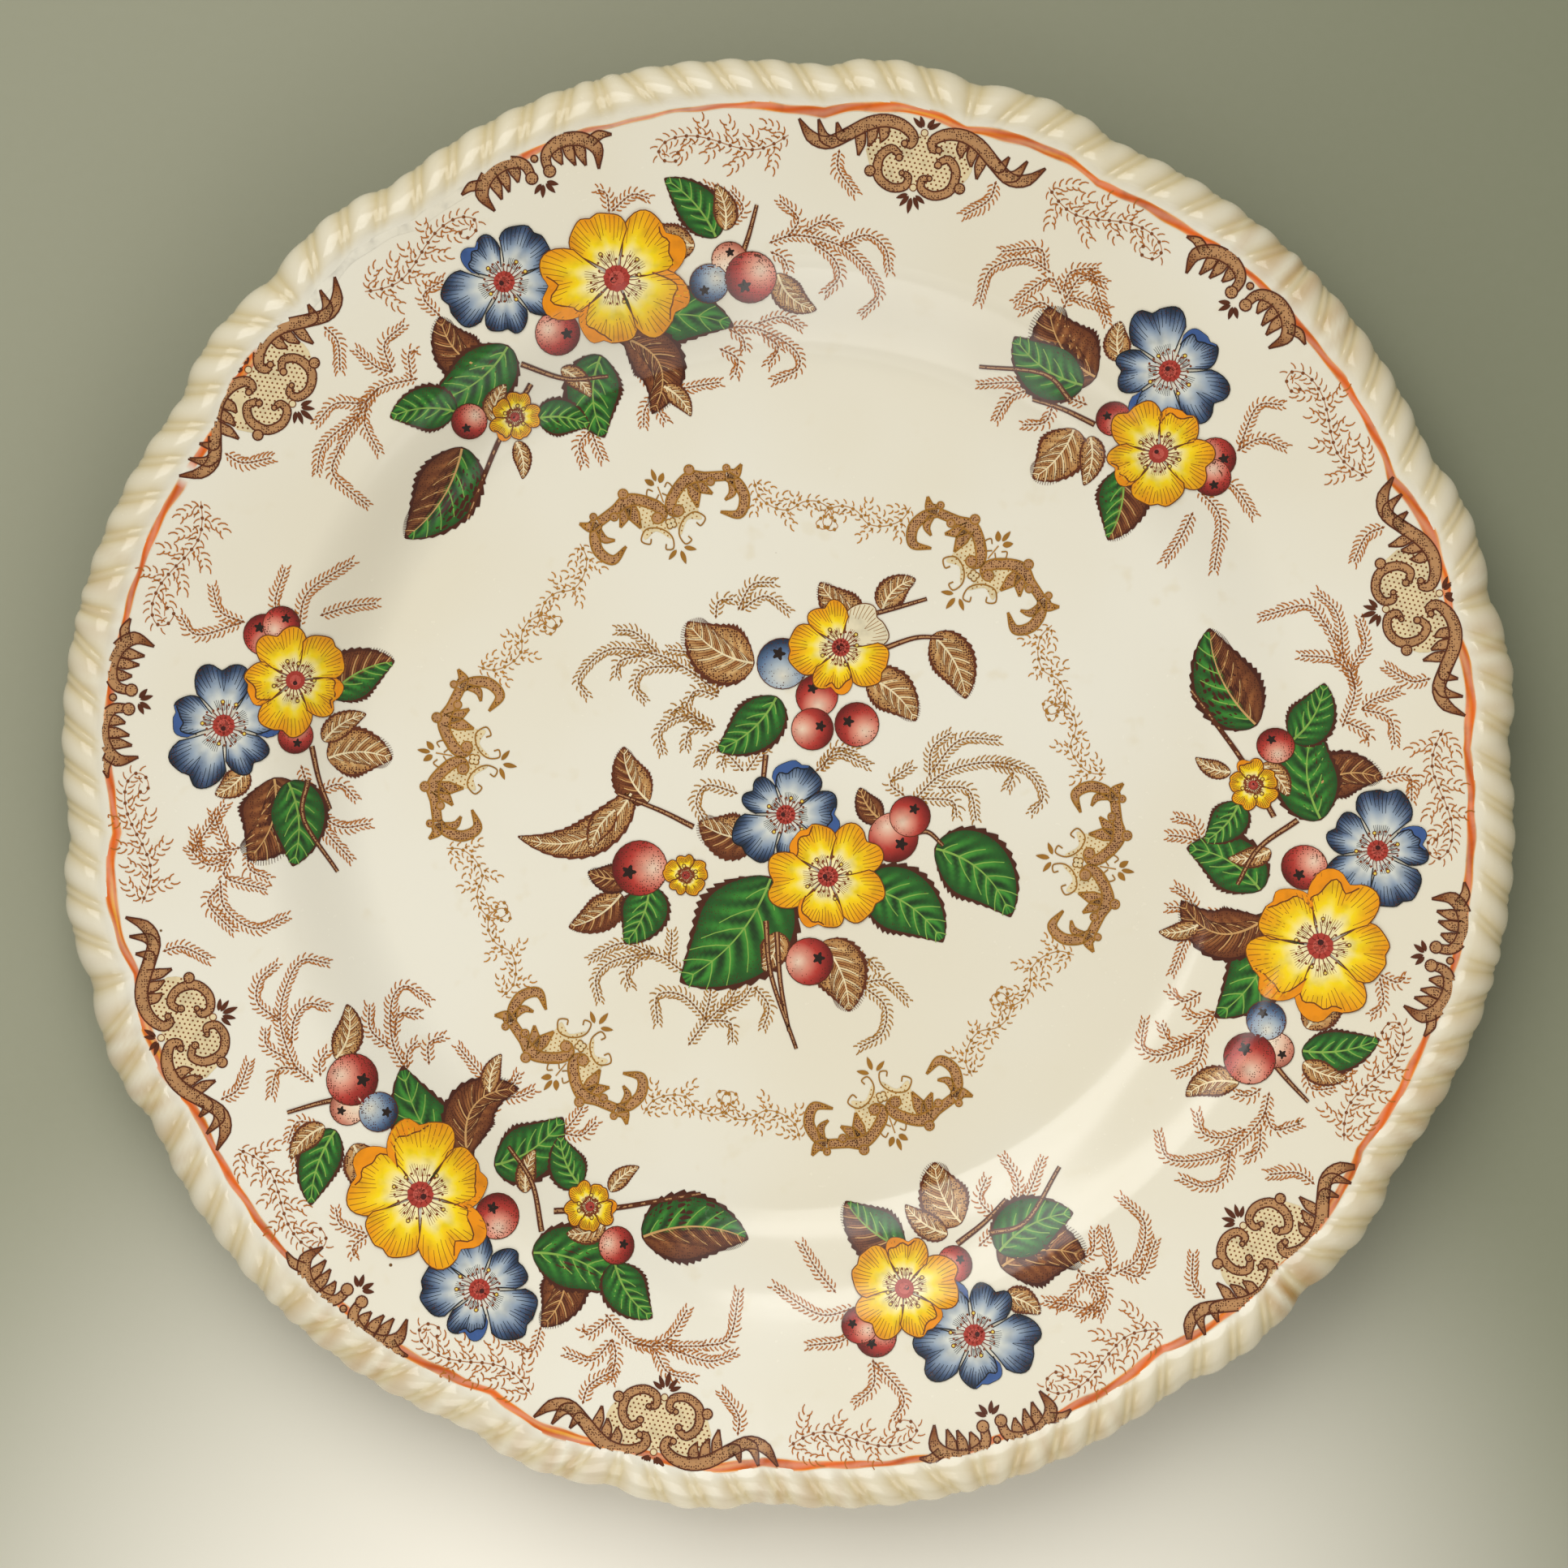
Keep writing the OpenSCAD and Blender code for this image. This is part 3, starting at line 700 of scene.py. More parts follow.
def berry(sheet, place, centre, radius, look, eye, layer):
    # a ball of colour, lightest on the far side from its dried calyx
    bright = 0.5 * np.exp(1j * np.radians(eye + 160))
    stops = berryLooks[look]

    def shade(r, a):
        return tones(np.abs(r * np.exp(1j * a) - bright), *stops), 0.2 + 0.35 * r

    rim = ring(centre, radius + 0.16, 24)
    blob(sheet, place, centre, rim, lambda r, a: (ink["dark"], 0), layer - 0.5, 6)
    blob(sheet, place, centre, ring(centre, radius, 24), shade, layer, 6)
    mark = centre + 0.42 * radius * np.exp(1j * np.radians(eye))
    lobes = 0.22 + 0.07 * np.cos(np.linspace(0, 10 * np.pi, 24, endpoint=False))
    star = mark + radius * lobes * ring(0, 1, 24)
    blob(sheet, place, mark, star, lambda r, a: (ink["black"], 0), layer + 0.7, 2)


def twig(sheet, place, points, width=0.9, layer=8):
    # a woody stem: dark edges, lighter middle and a few knots
    axis = curve(points, 26)
    taper = np.linspace(1, 0.55, 26) * width
    stroke(sheet, place, axis, taper + 0.3, ink["dark"], layer)
    stroke(sheet, place, axis, taper * 0.5, ink["tan"], layer + 1, 0.6)


def largeCartouche(sheet, place):
    # scrollwork over a dotted ground, the same on both sides of its middle
    outline = [-9.6 + 0j, -8.2 + 3.4j, -4.5 + 5j, 0 + 4.4j, 4.5 + 5j, 8.2 + 3.4j, 9.6 + 0j, 7.6 - 3.6j,
               4 - 5.2j, 0 - 4.8j, -4 - 5.2j, -7.6 - 3.6j]
    dottedGround(sheet, place, outline)
    for mirrored in (False, True):
        half = inside(place, pose(mirrored=mirrored))
        limb(sheet, half, [-13 + 2.2j, -14.4 + 1.6j, -15.6 + 3.7j], [1.0, 0.9, 0.1], 0.4)
        limb(sheet, half, [-15.6 + 0.2j, -17.3 + 0.7j, -18.9 + 3.6j], [1.0, 0.9, 0.1], 0.4)
        for root, end in ((-11.3 + 3.2j, -10.7 - 1.3j), (-9.2 + 4.2j, -9.3 + 0.6j),
                          (-7.2 + 4.6j, -7.3 + 1.8j)):
            limb(sheet, half, [root, (root + end) / 2 + 0.25, end], [0.95, 0.85, 0.1], 0.3, 5, 14)
        limb(sheet, half, [-3 + 2.5j, -2 + 2.4j, -1.8 + 3.9j, -4 + 5.4j, -7 + 5.7j, -10 + 4.6j,
                           -13.2 + 2.1j, -16.4 - 0.1j, -19.5 + 0.3j, -22.3 + 3j],
             [0.5, 0.7, 0.85, 1, 1.1, 1.15, 1.1, 1.1, 1, 0.1])
        limb(sheet, half, [-3.3 + 0.1j, -5.2 + 1.1j, -6.9 - 0.9j, -6.5 - 4.1j, -4 - 5.6j, -1.6 - 5j,
                           -1.2 - 3.3j, -2.2 - 2.8j], [0.55, 0.7, 0.75, 0.8, 0.75, 0.7, 0.6, 0.5], 0.02)
        knob(sheet, half, -8.1 - 3.5j, 1.05)
        knob(sheet, half, -3.5 - 0.2j, 0.75)
        knob(sheet, half, -2.5 - 2.8j, 0.6)
        knob(sheet, half, -3.1 + 2.4j, 0.7)
        frond(sheet, half, curve([-14.2 - 0.9j, -13.6 - 4.4j, -9.8 - 7.9j], 14), 1.7, 0.8)
        for angle, far in ((118, 2.2), (142, 2.6)):
            way = np.exp(1j * np.radians(angle))
            teardrop(sheet, half, 5.2j + way * 0.7, 5.2j + way * (far + 0.6), 0.42)
        for angle, far in ((-122, 2.6), (-150, 2.3)):
            way = np.exp(1j * np.radians(angle))
            teardrop(sheet, half, -5.8j + way * 0.8, -5.8j + way * (far + 0.7), 0.42)
    teardrop(sheet, place, -6.7j, -9.6j, 0.48)
    dots(sheet, place, [-4.9j, 4.9j], 0.7, ink["mid"], 9, 12)
    dots(sheet, place, [-4.9j, 4.9j], 0.52, ink["ground"], 10, 12)


def smallCartouche(sheet, place):
    # an arch of two scrolls with leaves that hang inward
    for mirrored in (False, True):
        half = inside(place, pose(mirrored=mirrored))
        for root, end in ((4.2 + 2.2j, 4.2 - 1.2j), (6.4 + 2.4j, 6.3 - 2.2j), (8.4 + 1.8j, 8 - 2.9j)):
            limb(sheet, half, [root, (root + end) / 2 - 0.2, end], [0.95, 0.9, 0.1], 0.35, 5, 14)
        limb(sheet, half, [10.2 + 0.7j, 12.2 + 1.2j, 14.3 + 0.5j], [0.9, 0.8, 0.1], 0.35)
        limb(sheet, half, [1.6 - 1.6j, 1.9 + 1j, 3.4 + 2.3j, 6 + 2.7j, 9 + 1.7j, 10.9 - 0.8j, 9.9 - 4.3j],
             [0.7, 0.85, 1, 1.15, 1.2, 1.1, 0.1], 0.2)
        knob(sheet, half, 1.7 - 1.4j, 1.2)
        for angle, far in ((-66, 2.4), (-34, 2.2)):
            way = np.exp(1j * np.radians(angle))
            teardrop(sheet, half, -2.6j + way * 0.6, -2.6j + way * (far + 0.6), 0.45)
    knob(sheet, place, 1.6j, 0.75)


def wreathCartouche(sheet, place):
    # two arms of scrollwork, thin tendrils and a sprig on either side of a four-lobed bead
    for mirrored in (False, True):
        half = inside(place, pose(mirrored=mirrored))
        ground = [0.9 + 0.2j, 2.4 + 3.4j, 4.6 + 5.2j, 6 + 3.4j, 5.4 + 0.8j, 5.4 - 1.2j, 3 - 0.4j, 0.9 - 2.6j]
        dottedGround(sheet, half, ground, 0.85, 0.17)
        limb(sheet, half, [6.2 + 6.2j, 7.3 + 4.2j, 8.8 + 2.4j], [0.9, 1.0, 0.1], 0.25, 5, 16)
        limb(sheet, half, [6 + 6.2j, 5.8 + 3.6j, 5.4 + 1.0j], [0.9, 1.1, 0.1], 0.25, 5, 16)
        limb(sheet, half, [2.1 + 1.3j, 0.9 + 2.2j, 1.5 + 3.9j, 4 + 5.9j, 6.2 + 6.5j, 8.6 + 5.7j,
                           12.2 + 4.6j], [0.8, 0.9, 0.95, 0.95, 1.15, 0.8, 0.8], 0.02)
        limb(sheet, half, [12.4 + 4.8j, 13.9 + 4.4j, 15.5 + 5.6j], [0.9, 0.9, 0.1], 0.35)
        limb(sheet, half, [12.7 + 3.4j, 12.2 + 1.4j, 10.5 + 0.6j], [0.5, 0.6, 0.1], 0.2)
        limb(sheet, half, [12.3 + 4.6j, 13.7 + 2.4j, 13.9 - 0.4j, 12 - 2.6j, 9 - 1.1j],
             [0.8, 0.9, 0.9, 0.8, 0.1], 0.15)
        knob(sheet, half, 2 + 1.7j, 1.15)
        knob(sheet, half, 6.3 + 7.9j, 1.0)
        knob(sheet, half, 9.2 + 4.6j, 0.85)
        knob(sheet, half, 12.7 + 5.9j, 0.75)
        tendril = [4.3 - 1.4j, 4.9 - 2.2j, 6.1 - 1.1j, 4.6 + 0.5j, 2.2 - 0.2j, 0.7 - 2.2j, 1.1 - 4.3j,
                   2.4 - 4.1j, 2.1 - 3.2j]
        hooked = [0.3 + 5.6j, 1.3 + 4.9j, 2.4 + 5.9j, 1.9 + 7.1j, 1.1 + 6.5j]
        stroke(sheet, half, curve(tendril, 44), 0.27, ink["dark"], 8)
        stroke(sheet, half, curve(hooked, 22), 0.25, ink["dark"], 8)
        teardrop(sheet, half, 0.7 - 4.8j, 2.7 - 6j, 0.42)
        teardrop(sheet, half, 0.5 + 7.5j, 1.8 + 9j, 0.55)
    teardrop(sheet, place, -5.2j, -7.8j, 0.45)
    teardrop(sheet, place, 8j, 10.4j, 0.42)
    stroke(sheet, place, arc(4j, 7j, 0), 0.22, ink["light"], 7)
    turn = np.exp(2j * np.pi * (np.arange(4) + 0.5) / 4)
    dots(sheet, place, 0.55 * turn, 0.62, ink["dark"], 9, 10)
    dots(sheet, place, 0.52 * turn, 0.38, ink["ground"], 10, 10)


borderRing = {
    "centre": -0.2 - 0.8j,    # where the transfer was laid
    "largeRadius": 116.0,
    "smallRadius": 120.0,
    "largeAt": 18.7,          # degrees
    "smallAfter": 29.6,
    "repeats": 6,
    "largeSlip": (-1.5, 0.0, 3.1, 2.2, -0.6, -2.5),    # degrees: the strips of transfer were laid unevenly
    "smallSlip": (-0.3, 3.7, 3.3, 0.5, -0.7, -2.6),
    "outward": (0.0, -1.2, 1.4, -0.8, -0.6, 1.2),
    "stem": [(117.0, 11.6), (115.4, 13.0), (114.6, 14.6), (115.4, 16.4), (117.0, 18.2), (118.2, 20.0),
             (118.2, 21.8), (116.8, 22.9), (115.0, 22.8), (114.2, 21.9), (114.9, 21.2), (115.9, 21.5),
             (115.7, 22.1)],      # radius, and degrees from the large cartouche
}


def drawBorder():
    # large and small cartouches in turn round the flange, with a fern to each side of every large one
    sheet = newSheet()
    middle = borderRing["centre"]
    for k in range(borderRing["repeats"]):
        at = borderRing["largeAt"] + 60.0 * k + borderRing["largeSlip"][k]
        radius = borderRing["largeRadius"] + borderRing["outward"][k]
        largeCartouche(sheet, pose(middle + radius * np.exp(1j * np.radians(at)), at - 90))
        small = borderRing["largeAt"] + 60.0 * k + borderRing["smallAfter"] + borderRing["smallSlip"][k]
        where = middle + borderRing["smallRadius"] * np.exp(1j * np.radians(small))
        smallCartouche(sheet, pose(where, small - 90))
        for sign in (1, -1):
            stem = [r * np.exp(1j * np.radians(at + sign * off)) for r, off in borderRing["stem"]]
            scrollFern(sheet, pose(middle), curve(stem, 90), sign)
    return layDown(sheet, "borderPrint", "border_print")


wreathRing = {
    "centre": -2.3 - 4.7j,
    "radius": 55.2,
    "firstAt": 50.1,
    "repeats": 6,
    "stem": [-16.6 + 2.2j, -16.4 - 0.6j, -18 - 3.4j, -20.6 - 5j, -23.6 - 4.6j, -26 - 5.4j, -27.6 - 7.6j,
             -27 - 10j, -25.2 - 10.4j, -24.4 - 9j, -25.6 - 8.4j],
}


def drawWreath():
    # cartouches at even angles, with a pair of ferns that mirror each other beside each
    sheet = newSheet()
    for k in range(wreathRing["repeats"]):
        at = wreathRing["firstAt"] + 60.0 * k
        place = pose(wreathRing["centre"] + wreathRing["radius"] * np.exp(1j * np.radians(at)), at - 90)
        wreathCartouche(sheet, place)
        for mirrored in (False, True):
            half = inside(place, pose(mirrored=mirrored))
            scrollFern(sheet, half, curve(wreathRing["stem"], 70), 1, 3.4, 1.35)
    return layDown(sheet, "wreathPrint", "wreath_print", golden=0.55)


# Sprays are drawn with y along the plate's radius and x to the right of it.
# A leaf is base, tip, width, look and where they differ its bow and the look of its other half.
# Ferns and twigs are points on their stems. A flower is centre, radius, look, turn, layer and the folds of
# its petals, and a berry is centre, radius, look and the heading of its calyx.
# Each spray is laid down at an angle round the plate, with a small shift of its middle.
largeSpray = {
    "laid": ((116.6, -1.6 + 0.6j), (236.6, -3.1 - 1.6j), (354.5, 2.5 - 5.5j)),
    "ferns": [[41 + 87.5j, 46 + 86.5j, 52 + 81.5j, 54.5 + 75.5j, 54.5 + 70.5j, 50 + 68.5j],
              [44.5 + 87j, 47.5 + 89j, 46 + 93.5j], [47.5 + 86.5j, 51.5 + 86.5j, 53.5 + 84j],
              [52 + 81.5j, 57 + 81j, 59 + 77.5j, 58 + 73.5j],
              [48 + 84j, 50 + 80j, 49.5 + 76.5j, 46 + 75j], [40.5 + 86j, 42 + 84j, 42 + 81.5j],
              [27.5 + 77.5j, 31.5 + 75.5j, 34.5 + 72.5j, 37 + 68j, 36 + 65j, 31 + 65j],
              [33 + 75.5j, 37.5 + 74.5j, 40 + 71j], [33 + 73.5j, 34.5 + 70j, 31.5 + 68j],
              [28 + 77j, 29.5 + 74.5j, 29 + 72j], [25 + 74.5j, 27 + 71.5j, 25.5 + 69j],
              [36 + 93.5j, 39.5 + 95j, 39 + 99j], [36.5 + 94j, 37.5 + 98.5j, 35.5 + 101.5j],
              [10.5 + 79.5j, 12 + 73j, 22.5 + 69j], [12.5 + 72.5j, 8.5 + 71j, 6.5 + 68j],
              [12.5 + 72.5j, 10.5 + 70j, 10.5 + 67j], [-17 + 102j, -18 + 106.5j, -13.5 + 107.5j],
              [-25.5 + 94j, -32.5 + 95.5j, -37.5 + 93j, -43 + 89.5j],
              [-29 + 97j, -31 + 99j, -33 + 103.5j], [-29 + 97j, -28 + 102j, -23.5 + 103.5j],
              [-26.5 + 94.5j, -25 + 98.5j, -23.5 + 98.5j],
              [-32.5 + 95.5j, -36 + 94.5j, -40.5 + 96.5j, -45 + 95j],
              [-35.5 + 94j, -37.5 + 91j, -37.5 + 85.5j], [-37.5 + 93j, -45.5 + 91j, -49 + 87j],
              [-43 + 89.5j, -46.5 + 85.5j, -43.5 + 77.5j], [18 + 105j, 19 + 108j, 18 + 109.5j],
              [18.5 + 105j, 23 + 106j, 25.5 + 104j], [-1.5 + 72j, -5 + 70.5j, -6 + 67j],
              [-2 + 72j, -2.5 + 68.5j, -2.5 + 66j]],
    "twigs": [[-8 + 84j, -17 + 78j, -24 + 72j, -29 + 67.5j], [36 + 88j, 38.5 + 90.5j, 42 + 94.5j],
              [-8 + 88j, -2 + 82j, 5 + 79j]],
    "leaves": [(-14 + 90j, -17 + 102j, 8, "russet", 0.15), (-8.5 + 92j, -26 + 89.5j, 11, "green", 0.12),
               (33 + 92.5j, 29.4 + 106j, 7.5, "green", -0.08), (29 + 93j, 22.5 + 100.5j, 6, "brown"),
               (35 + 93j, 37 + 101j, 4, "brown", -0.1), (8 + 86j, 29 + 77j, 11.5, "green", 0.12),
               (10.5 + 84j, 9 + 69.5j, 9, "russet", 0.3), (5.5 + 83j, -0.5 + 69.5j, 10, "green", -0.12),
               (-22 + 85.5j, -33 + 90j, 8, "green", -0.1),
               (-24 + 79.5j, -40.5 + 69.5j, 11.5, "russet", 0.1, "green"),
               (-10 + 78j, -2 + 72.5j, 6.5, "green"), (-15 + 76j, -17 + 69.5j, 3, "brown"),
               (40 + 82j, 43.5 + 73j, 5, "brown", -0.15), (-2 + 84j, 0.5 + 77j, 3.4, "brown"),
               (-17 + 81j, -12 + 86j, 4, "brown"), (13 + 73j, 15 + 66j, 3.2, "brown")],
    "flowers": [(-4.1 + 102.4j, 10.6, "blue", 32, 20, (0, 0.28, 0, 0, 0)),
                (14 + 94j, 13.2, "yellow", 16, 34, (-0.3, 0, 0.3, -0.26, 0.3)),
                (-13.2 + 80j, 4.6, "yellow", 50, 20, (0, 0, 0.25, 0, 0))],
    "berries": [(0.3 + 90j, 3.9, "red", -30), (33.4 + 88j, 3.1, "pink", 60),
                (28.3 + 85.8j, 3.4, "blue", -150), (35.4 + 83.5j, 4.5, "red", -150),
                (-20.8 + 83j, 3.1, "red", -140)],
}
smallSpray = {
    "laid": ((45.8, -3.3 + 1.1j), (173.5, 0.1 + 0.8j), (288.5, -0.2 - 1.9j)),
    "ferns": [[-28 + 99.5j, -33 + 98j, -36 + 92.5j, -33.5 + 87j],
              [-29.5 + 99.5j, -32.5 + 101j, -37 + 96j], [-24 + 98j, -27.5 + 98.5j, -29 + 91j],
              [-24 + 98.5j, -25.5 + 102j, -22.5 + 106j], [-23 + 98j, -23.5 + 103j, -19.5 + 105j],
              [-22 + 96.5j, -22 + 99j, -16 + 102j], [-22 + 95j, -25.5 + 94.5j, -27 + 91j],
              [-6.5 + 87.5j, -16.5 + 83j, -23 + 76.5j], [-14 + 84.5j, -17 + 79.5j, -16 + 74j],
              [-12 + 85j, -9.5 + 80.5j, -12 + 77j], [18 + 100.5j, 15 + 108j, 18 + 111.5j],
              [18 + 100j, 19.5 + 104.5j, 24 + 106.5j], [18 + 90.5j, 24.5 + 89.5j, 30.5 + 82.5j],
              [20.5 + 87j, 22.5 + 82j, 23.5 + 77.5j], [18.5 + 91j, 21.5 + 95j, 28.5 + 94j],
              [-23.5 + 105j, -19 + 102.5j, -14.5 + 100j]],
    "twigs": [[-3 + 86j, -9 + 84j, -14 + 81.5j], [-9 + 86j, -16 + 86j, -25 + 79j]],
    "leaves": [(-9 + 92j, -24 + 95j, 12, "russet", 0.14), (-9.5 + 89.5j, -24.5 + 87j, 10, "green"),
               (6 + 84j, 13.5 + 73j, 9, "green", 0.1, "russet"), (-5 + 83j, -4 + 71.5j, 8.5, "brown"),
               (-8 + 97j, -13 + 102j, 4.5, "brown"), (-2 + 84j, 3.5 + 77j, 4.2, "brown")],
    "flowers": [(-0.6 + 101.8j, 11.0, "blue", 8, 20, (0, 0.26, 0, 0, -0.26)),
                (8.6 + 90.1j, 9.6, "yellow", 28, 34, (0, 0.24, 0, 0.22, 0))],
    "berries": [(16.2 + 96.4j, 3.6, "red", 40), (18.3 + 93.6j, 3.2, "red", -30),
                (-1.4 + 89j, 3.0, "red", -160)],
}
centreSpray = {
    "laid": ((90.0, -3.3 - 4.5j),),
    "ferns": [[-9.5 + 21j, -14.5 + 25j, -20.5 + 28j, -29 + 29j, -34.5 + 24j, -33 + 20.5j],
              [-20.5 + 28.5j, -24.5 + 32j, -28 + 32.5j], [-13.5 + 24j, -14.5 + 28j, -18.5 + 29j],
              [-16 + 26j, -22.5 + 25.5j, -24.5 + 22.5j, -22.5 + 19.5j],
              [-22.5 + 28j, -27 + 27j, -28 + 24j], [-9.5 + 20.5j, -13.5 + 21.5j, -15.5 + 18.5j],
              [-9.5 + 21j, -10 + 25.5j, -9.5 + 29.5j],
              [-10 + 15j, -15.5 + 17j, -20 + 14.5j, -19.5 + 10j],
              [-10.5 + 14.5j, -14.5 + 14.5j, -15.5 + 11j], [-12 + 15.5j, -16 + 18.5j, -18 + 17.5j],
              [-6 + 12j, -11 + 11j, -13 + 8j], [-5 + 7j, -8 + 10j, -9 + 8j],
              [-4.5 + 7j, -1.5 + 11j, -0.5 + 11j], [-6 + 3j, -11.5 + 4.5j, -13.5 + 1.5j, -12 - 2j],
              [-6 + 36j, -3.5 + 40.5j, 0.5 + 41j], [-5.5 + 36j, -1 + 38.5j, 3.5 + 35.5j],
              [-10 + 34.5j, -9.5 + 37.5j, -7 + 38j], [8 + 7j, 12 + 10j, 17.5 + 8j],
              [9 + 7j, 11.5 + 11j, 15.5 + 10.5j],
              [25.5 + 1.5j, 31 + 6.5j, 39 + 8.5j, 46 + 7j, 49 + 2.5j, 47 - 0.5j],
              [28.5 + 6j, 29 + 11j, 32.5 + 14j], [29 + 7j, 34 + 12.5j, 41 + 12.5j],
              [30 + 4j, 35.5 + 3.5j, 37 - 2j], [39.5 + 8j, 43.5 + 7j, 42.5 + 3.5j],
              [27 + 2j, 32.5 + 1.5j, 33.5 - 1.5j], [24 + 2.5j, 21.5 + 5j, 25.5 + 8j],
              [-16 - 29j, -21 - 26j, -28 - 27j, -31.5 - 30j, -31 - 34.5j],
              [-21 - 26j, -27 - 24j, -33 - 27j], [-23 - 26.5j, -26 - 29j, -25.5 - 32j],
              [-18.5 - 27j, -18 - 24j, -18 - 21.5j], [-15 - 42.5j, -11.5 - 38j, -7 - 33.5j, -5.5 - 29j],
              [-11.5 - 38j, -16 - 33.5j, -20.5 - 33.5j, -20.5 - 38.5j],
              [-12 - 38j, -11 - 32j, -13.5 - 29.5j], [-11 - 38j, -7.5 - 38.5j, -7 - 42j],
              [-9.5 - 36.5j, -5.5 - 34.5j, -3.5 - 32j], [-3 - 32j, -0.5 - 35.5j, -1.5 - 39.5j],
              [16 - 31.5j, 20.5 - 31j, 24.5 - 34.5j], [16 - 31j, 17 - 27j, 19.5 - 29j],
              [16 - 31.5j, 20.5 - 35.5j, 20 - 40.5j, 16 - 43j]],
    "twigs": [[-1 - 20j, 0 - 30j, 4.5 - 43.2j], [1 - 22j, 1.6 - 31j, 3.2 - 40j],
              [-14 - 3j, -20 + 0j, -27.6 + 3j], [13 + 34j, 21 + 36j, 28 + 38j],
              [24 - 5j, 28 - 4j, 31 - 6.5j], [-1 + 10j, -1.6 + 4j, -2 + 0j],
              [20 + 29j, 26 + 31j, 31 + 31j]],
    "leaves": [(-25 + 3.5j, -45.6 - 4.6j, 6.5, "brown", 0.22),
               (-22 + 1.6j, -26.5 + 11.5j, 6.5, "brown", 0.12, "russet"),
               (-28 + 0.2j, -32.5 - 7j, 4, "brown", -0.1), (-3 + 26.5j, -15 + 34j, 10.5, "brown", 0.12),
               (17 + 34j, 8.8 + 41j, 6.5, "brown"), (20 + 36j, 26 + 41.5j, 5, "brown", 0.15),
               (29 + 31.5j, 35 + 20j, 7.5, "brown"), (17 + 24j, 26 + 16j, 7.5, "brown"),
               (1 + 20.5j, -9.8 + 10.8j, 9, "green"), (-3 - 5j, -13 - 2j, 8, "brown", 0.1, "russet"),
               (-27 - 15j, -36.5 - 21j, 6, "brown", 0.1, "russet"),
               (-25.5 - 12j, -33 - 11j, 5, "russet"), (-22 - 13.5j, -26.5 - 24j, 8.5, "green"),
               (16 - 14j, 31 - 24j, 12, "green", 0.12), (29.4 - 7j, 43.2 - 19.5j, 12.5, "green", 0.14),
               (0 - 12j, -16.5 - 31j, 18, "green"), (9 - 24j, 14 - 36.5j, 9.5, "brown"),
               (1 - 22j, -1.5 - 29j, 5, "brown"), (20 - 2j, 16 + 4j, 4.5, "russet")],
    "flowers": [(2.6 - 0.8j, 9.8, "blue", 72, 20, (0.28, 0, 0, 0, -0.26)),
                (10.2 - 12j, 10.6, "yellow", 42, 34, (0, 0.22, 0, -0.2, 0)),
                (12.5 + 29.3j, 9.2, ("pale",) + ("yellow",) * 4, 40, 20, (0, 0, 0, 0.26, 0)),
                (-15.4 - 11.7j, 4.0, "yellow", 20, 20, (0, 0, 0, 0, 0))],
    "berries": [(-23.7 - 10.4j, 4.9, "red", 200), (22 - 5j, 4.4, "red", -40),
                (25 - 1.2j, 3.6, "red", 60), (6.9 - 27.4j, 4.2, "red", 20),
                (2 + 26.4j, 4.5, "blue", 110), (8.2 + 20.6j, 3.7, "red", 120),
                (7.4 + 14.6j, 3.7, "red", 20), (15.4 + 15.4j, 3.9, "red", 160)],
}


def drawSpray(layout, k, name, node, *tones):
    # ferns lowest, then leaves, twigs, berries and flowers
    sheet = newSheet(*tones)
    angle, shift = layout["laid"][k]
    place = pose(shift, angle - 90)
    for points in layout["ferns"]:
        frond(sheet, place, curve(points, 10 * len(points)), 1.55)
    laid = []
    for base, tip, *rest in layout["leaves"]:
        # a leaf lies one level above the highest earlier leaf that it meets
        middle, reach = (base + tip) / 2, abs(tip - base) / 2
        met = [at + 1 for spot, far, at in laid if abs(middle - spot) < 0.78 * (reach + far)]
        level = max(met, default=0)
        laid.append((middle, reach, level))
        leaf(sheet, place, 7 + layering["leafStep"] * level, base, tip, *rest)
    above = 9.5 + layering["leafStep"] * max(level for middle, reach, level in laid)
    for points in layout["twigs"]:
        twig(sheet, place, points, 0.75, above)
    for i, (centre, radius, look, eye) in enumerate(layout["berries"]):
        berry(sheet, place, centre, radius, look, eye, above + 2 + i)
    for centre, radius, look, turn, layer, folds in layout["flowers"]:
        flower(sheet, place, centre, radius, look, turn, layer + above - 13, folds)
    return layDown(sheet, name, node)


# the hand-painted line, and where the brush ran thin, doubled or was lifted
lineBrush = {
    "width": 1.55,
    "strong": "E06208",
    "deep": "B54C0A",
    "gold": "EDB03A",
    "gaps": ((113, 141), (151, 153.5)),    # degrees
    "thinAt": 103.0,          # degrees
    "thinSpread": 11.0,
}


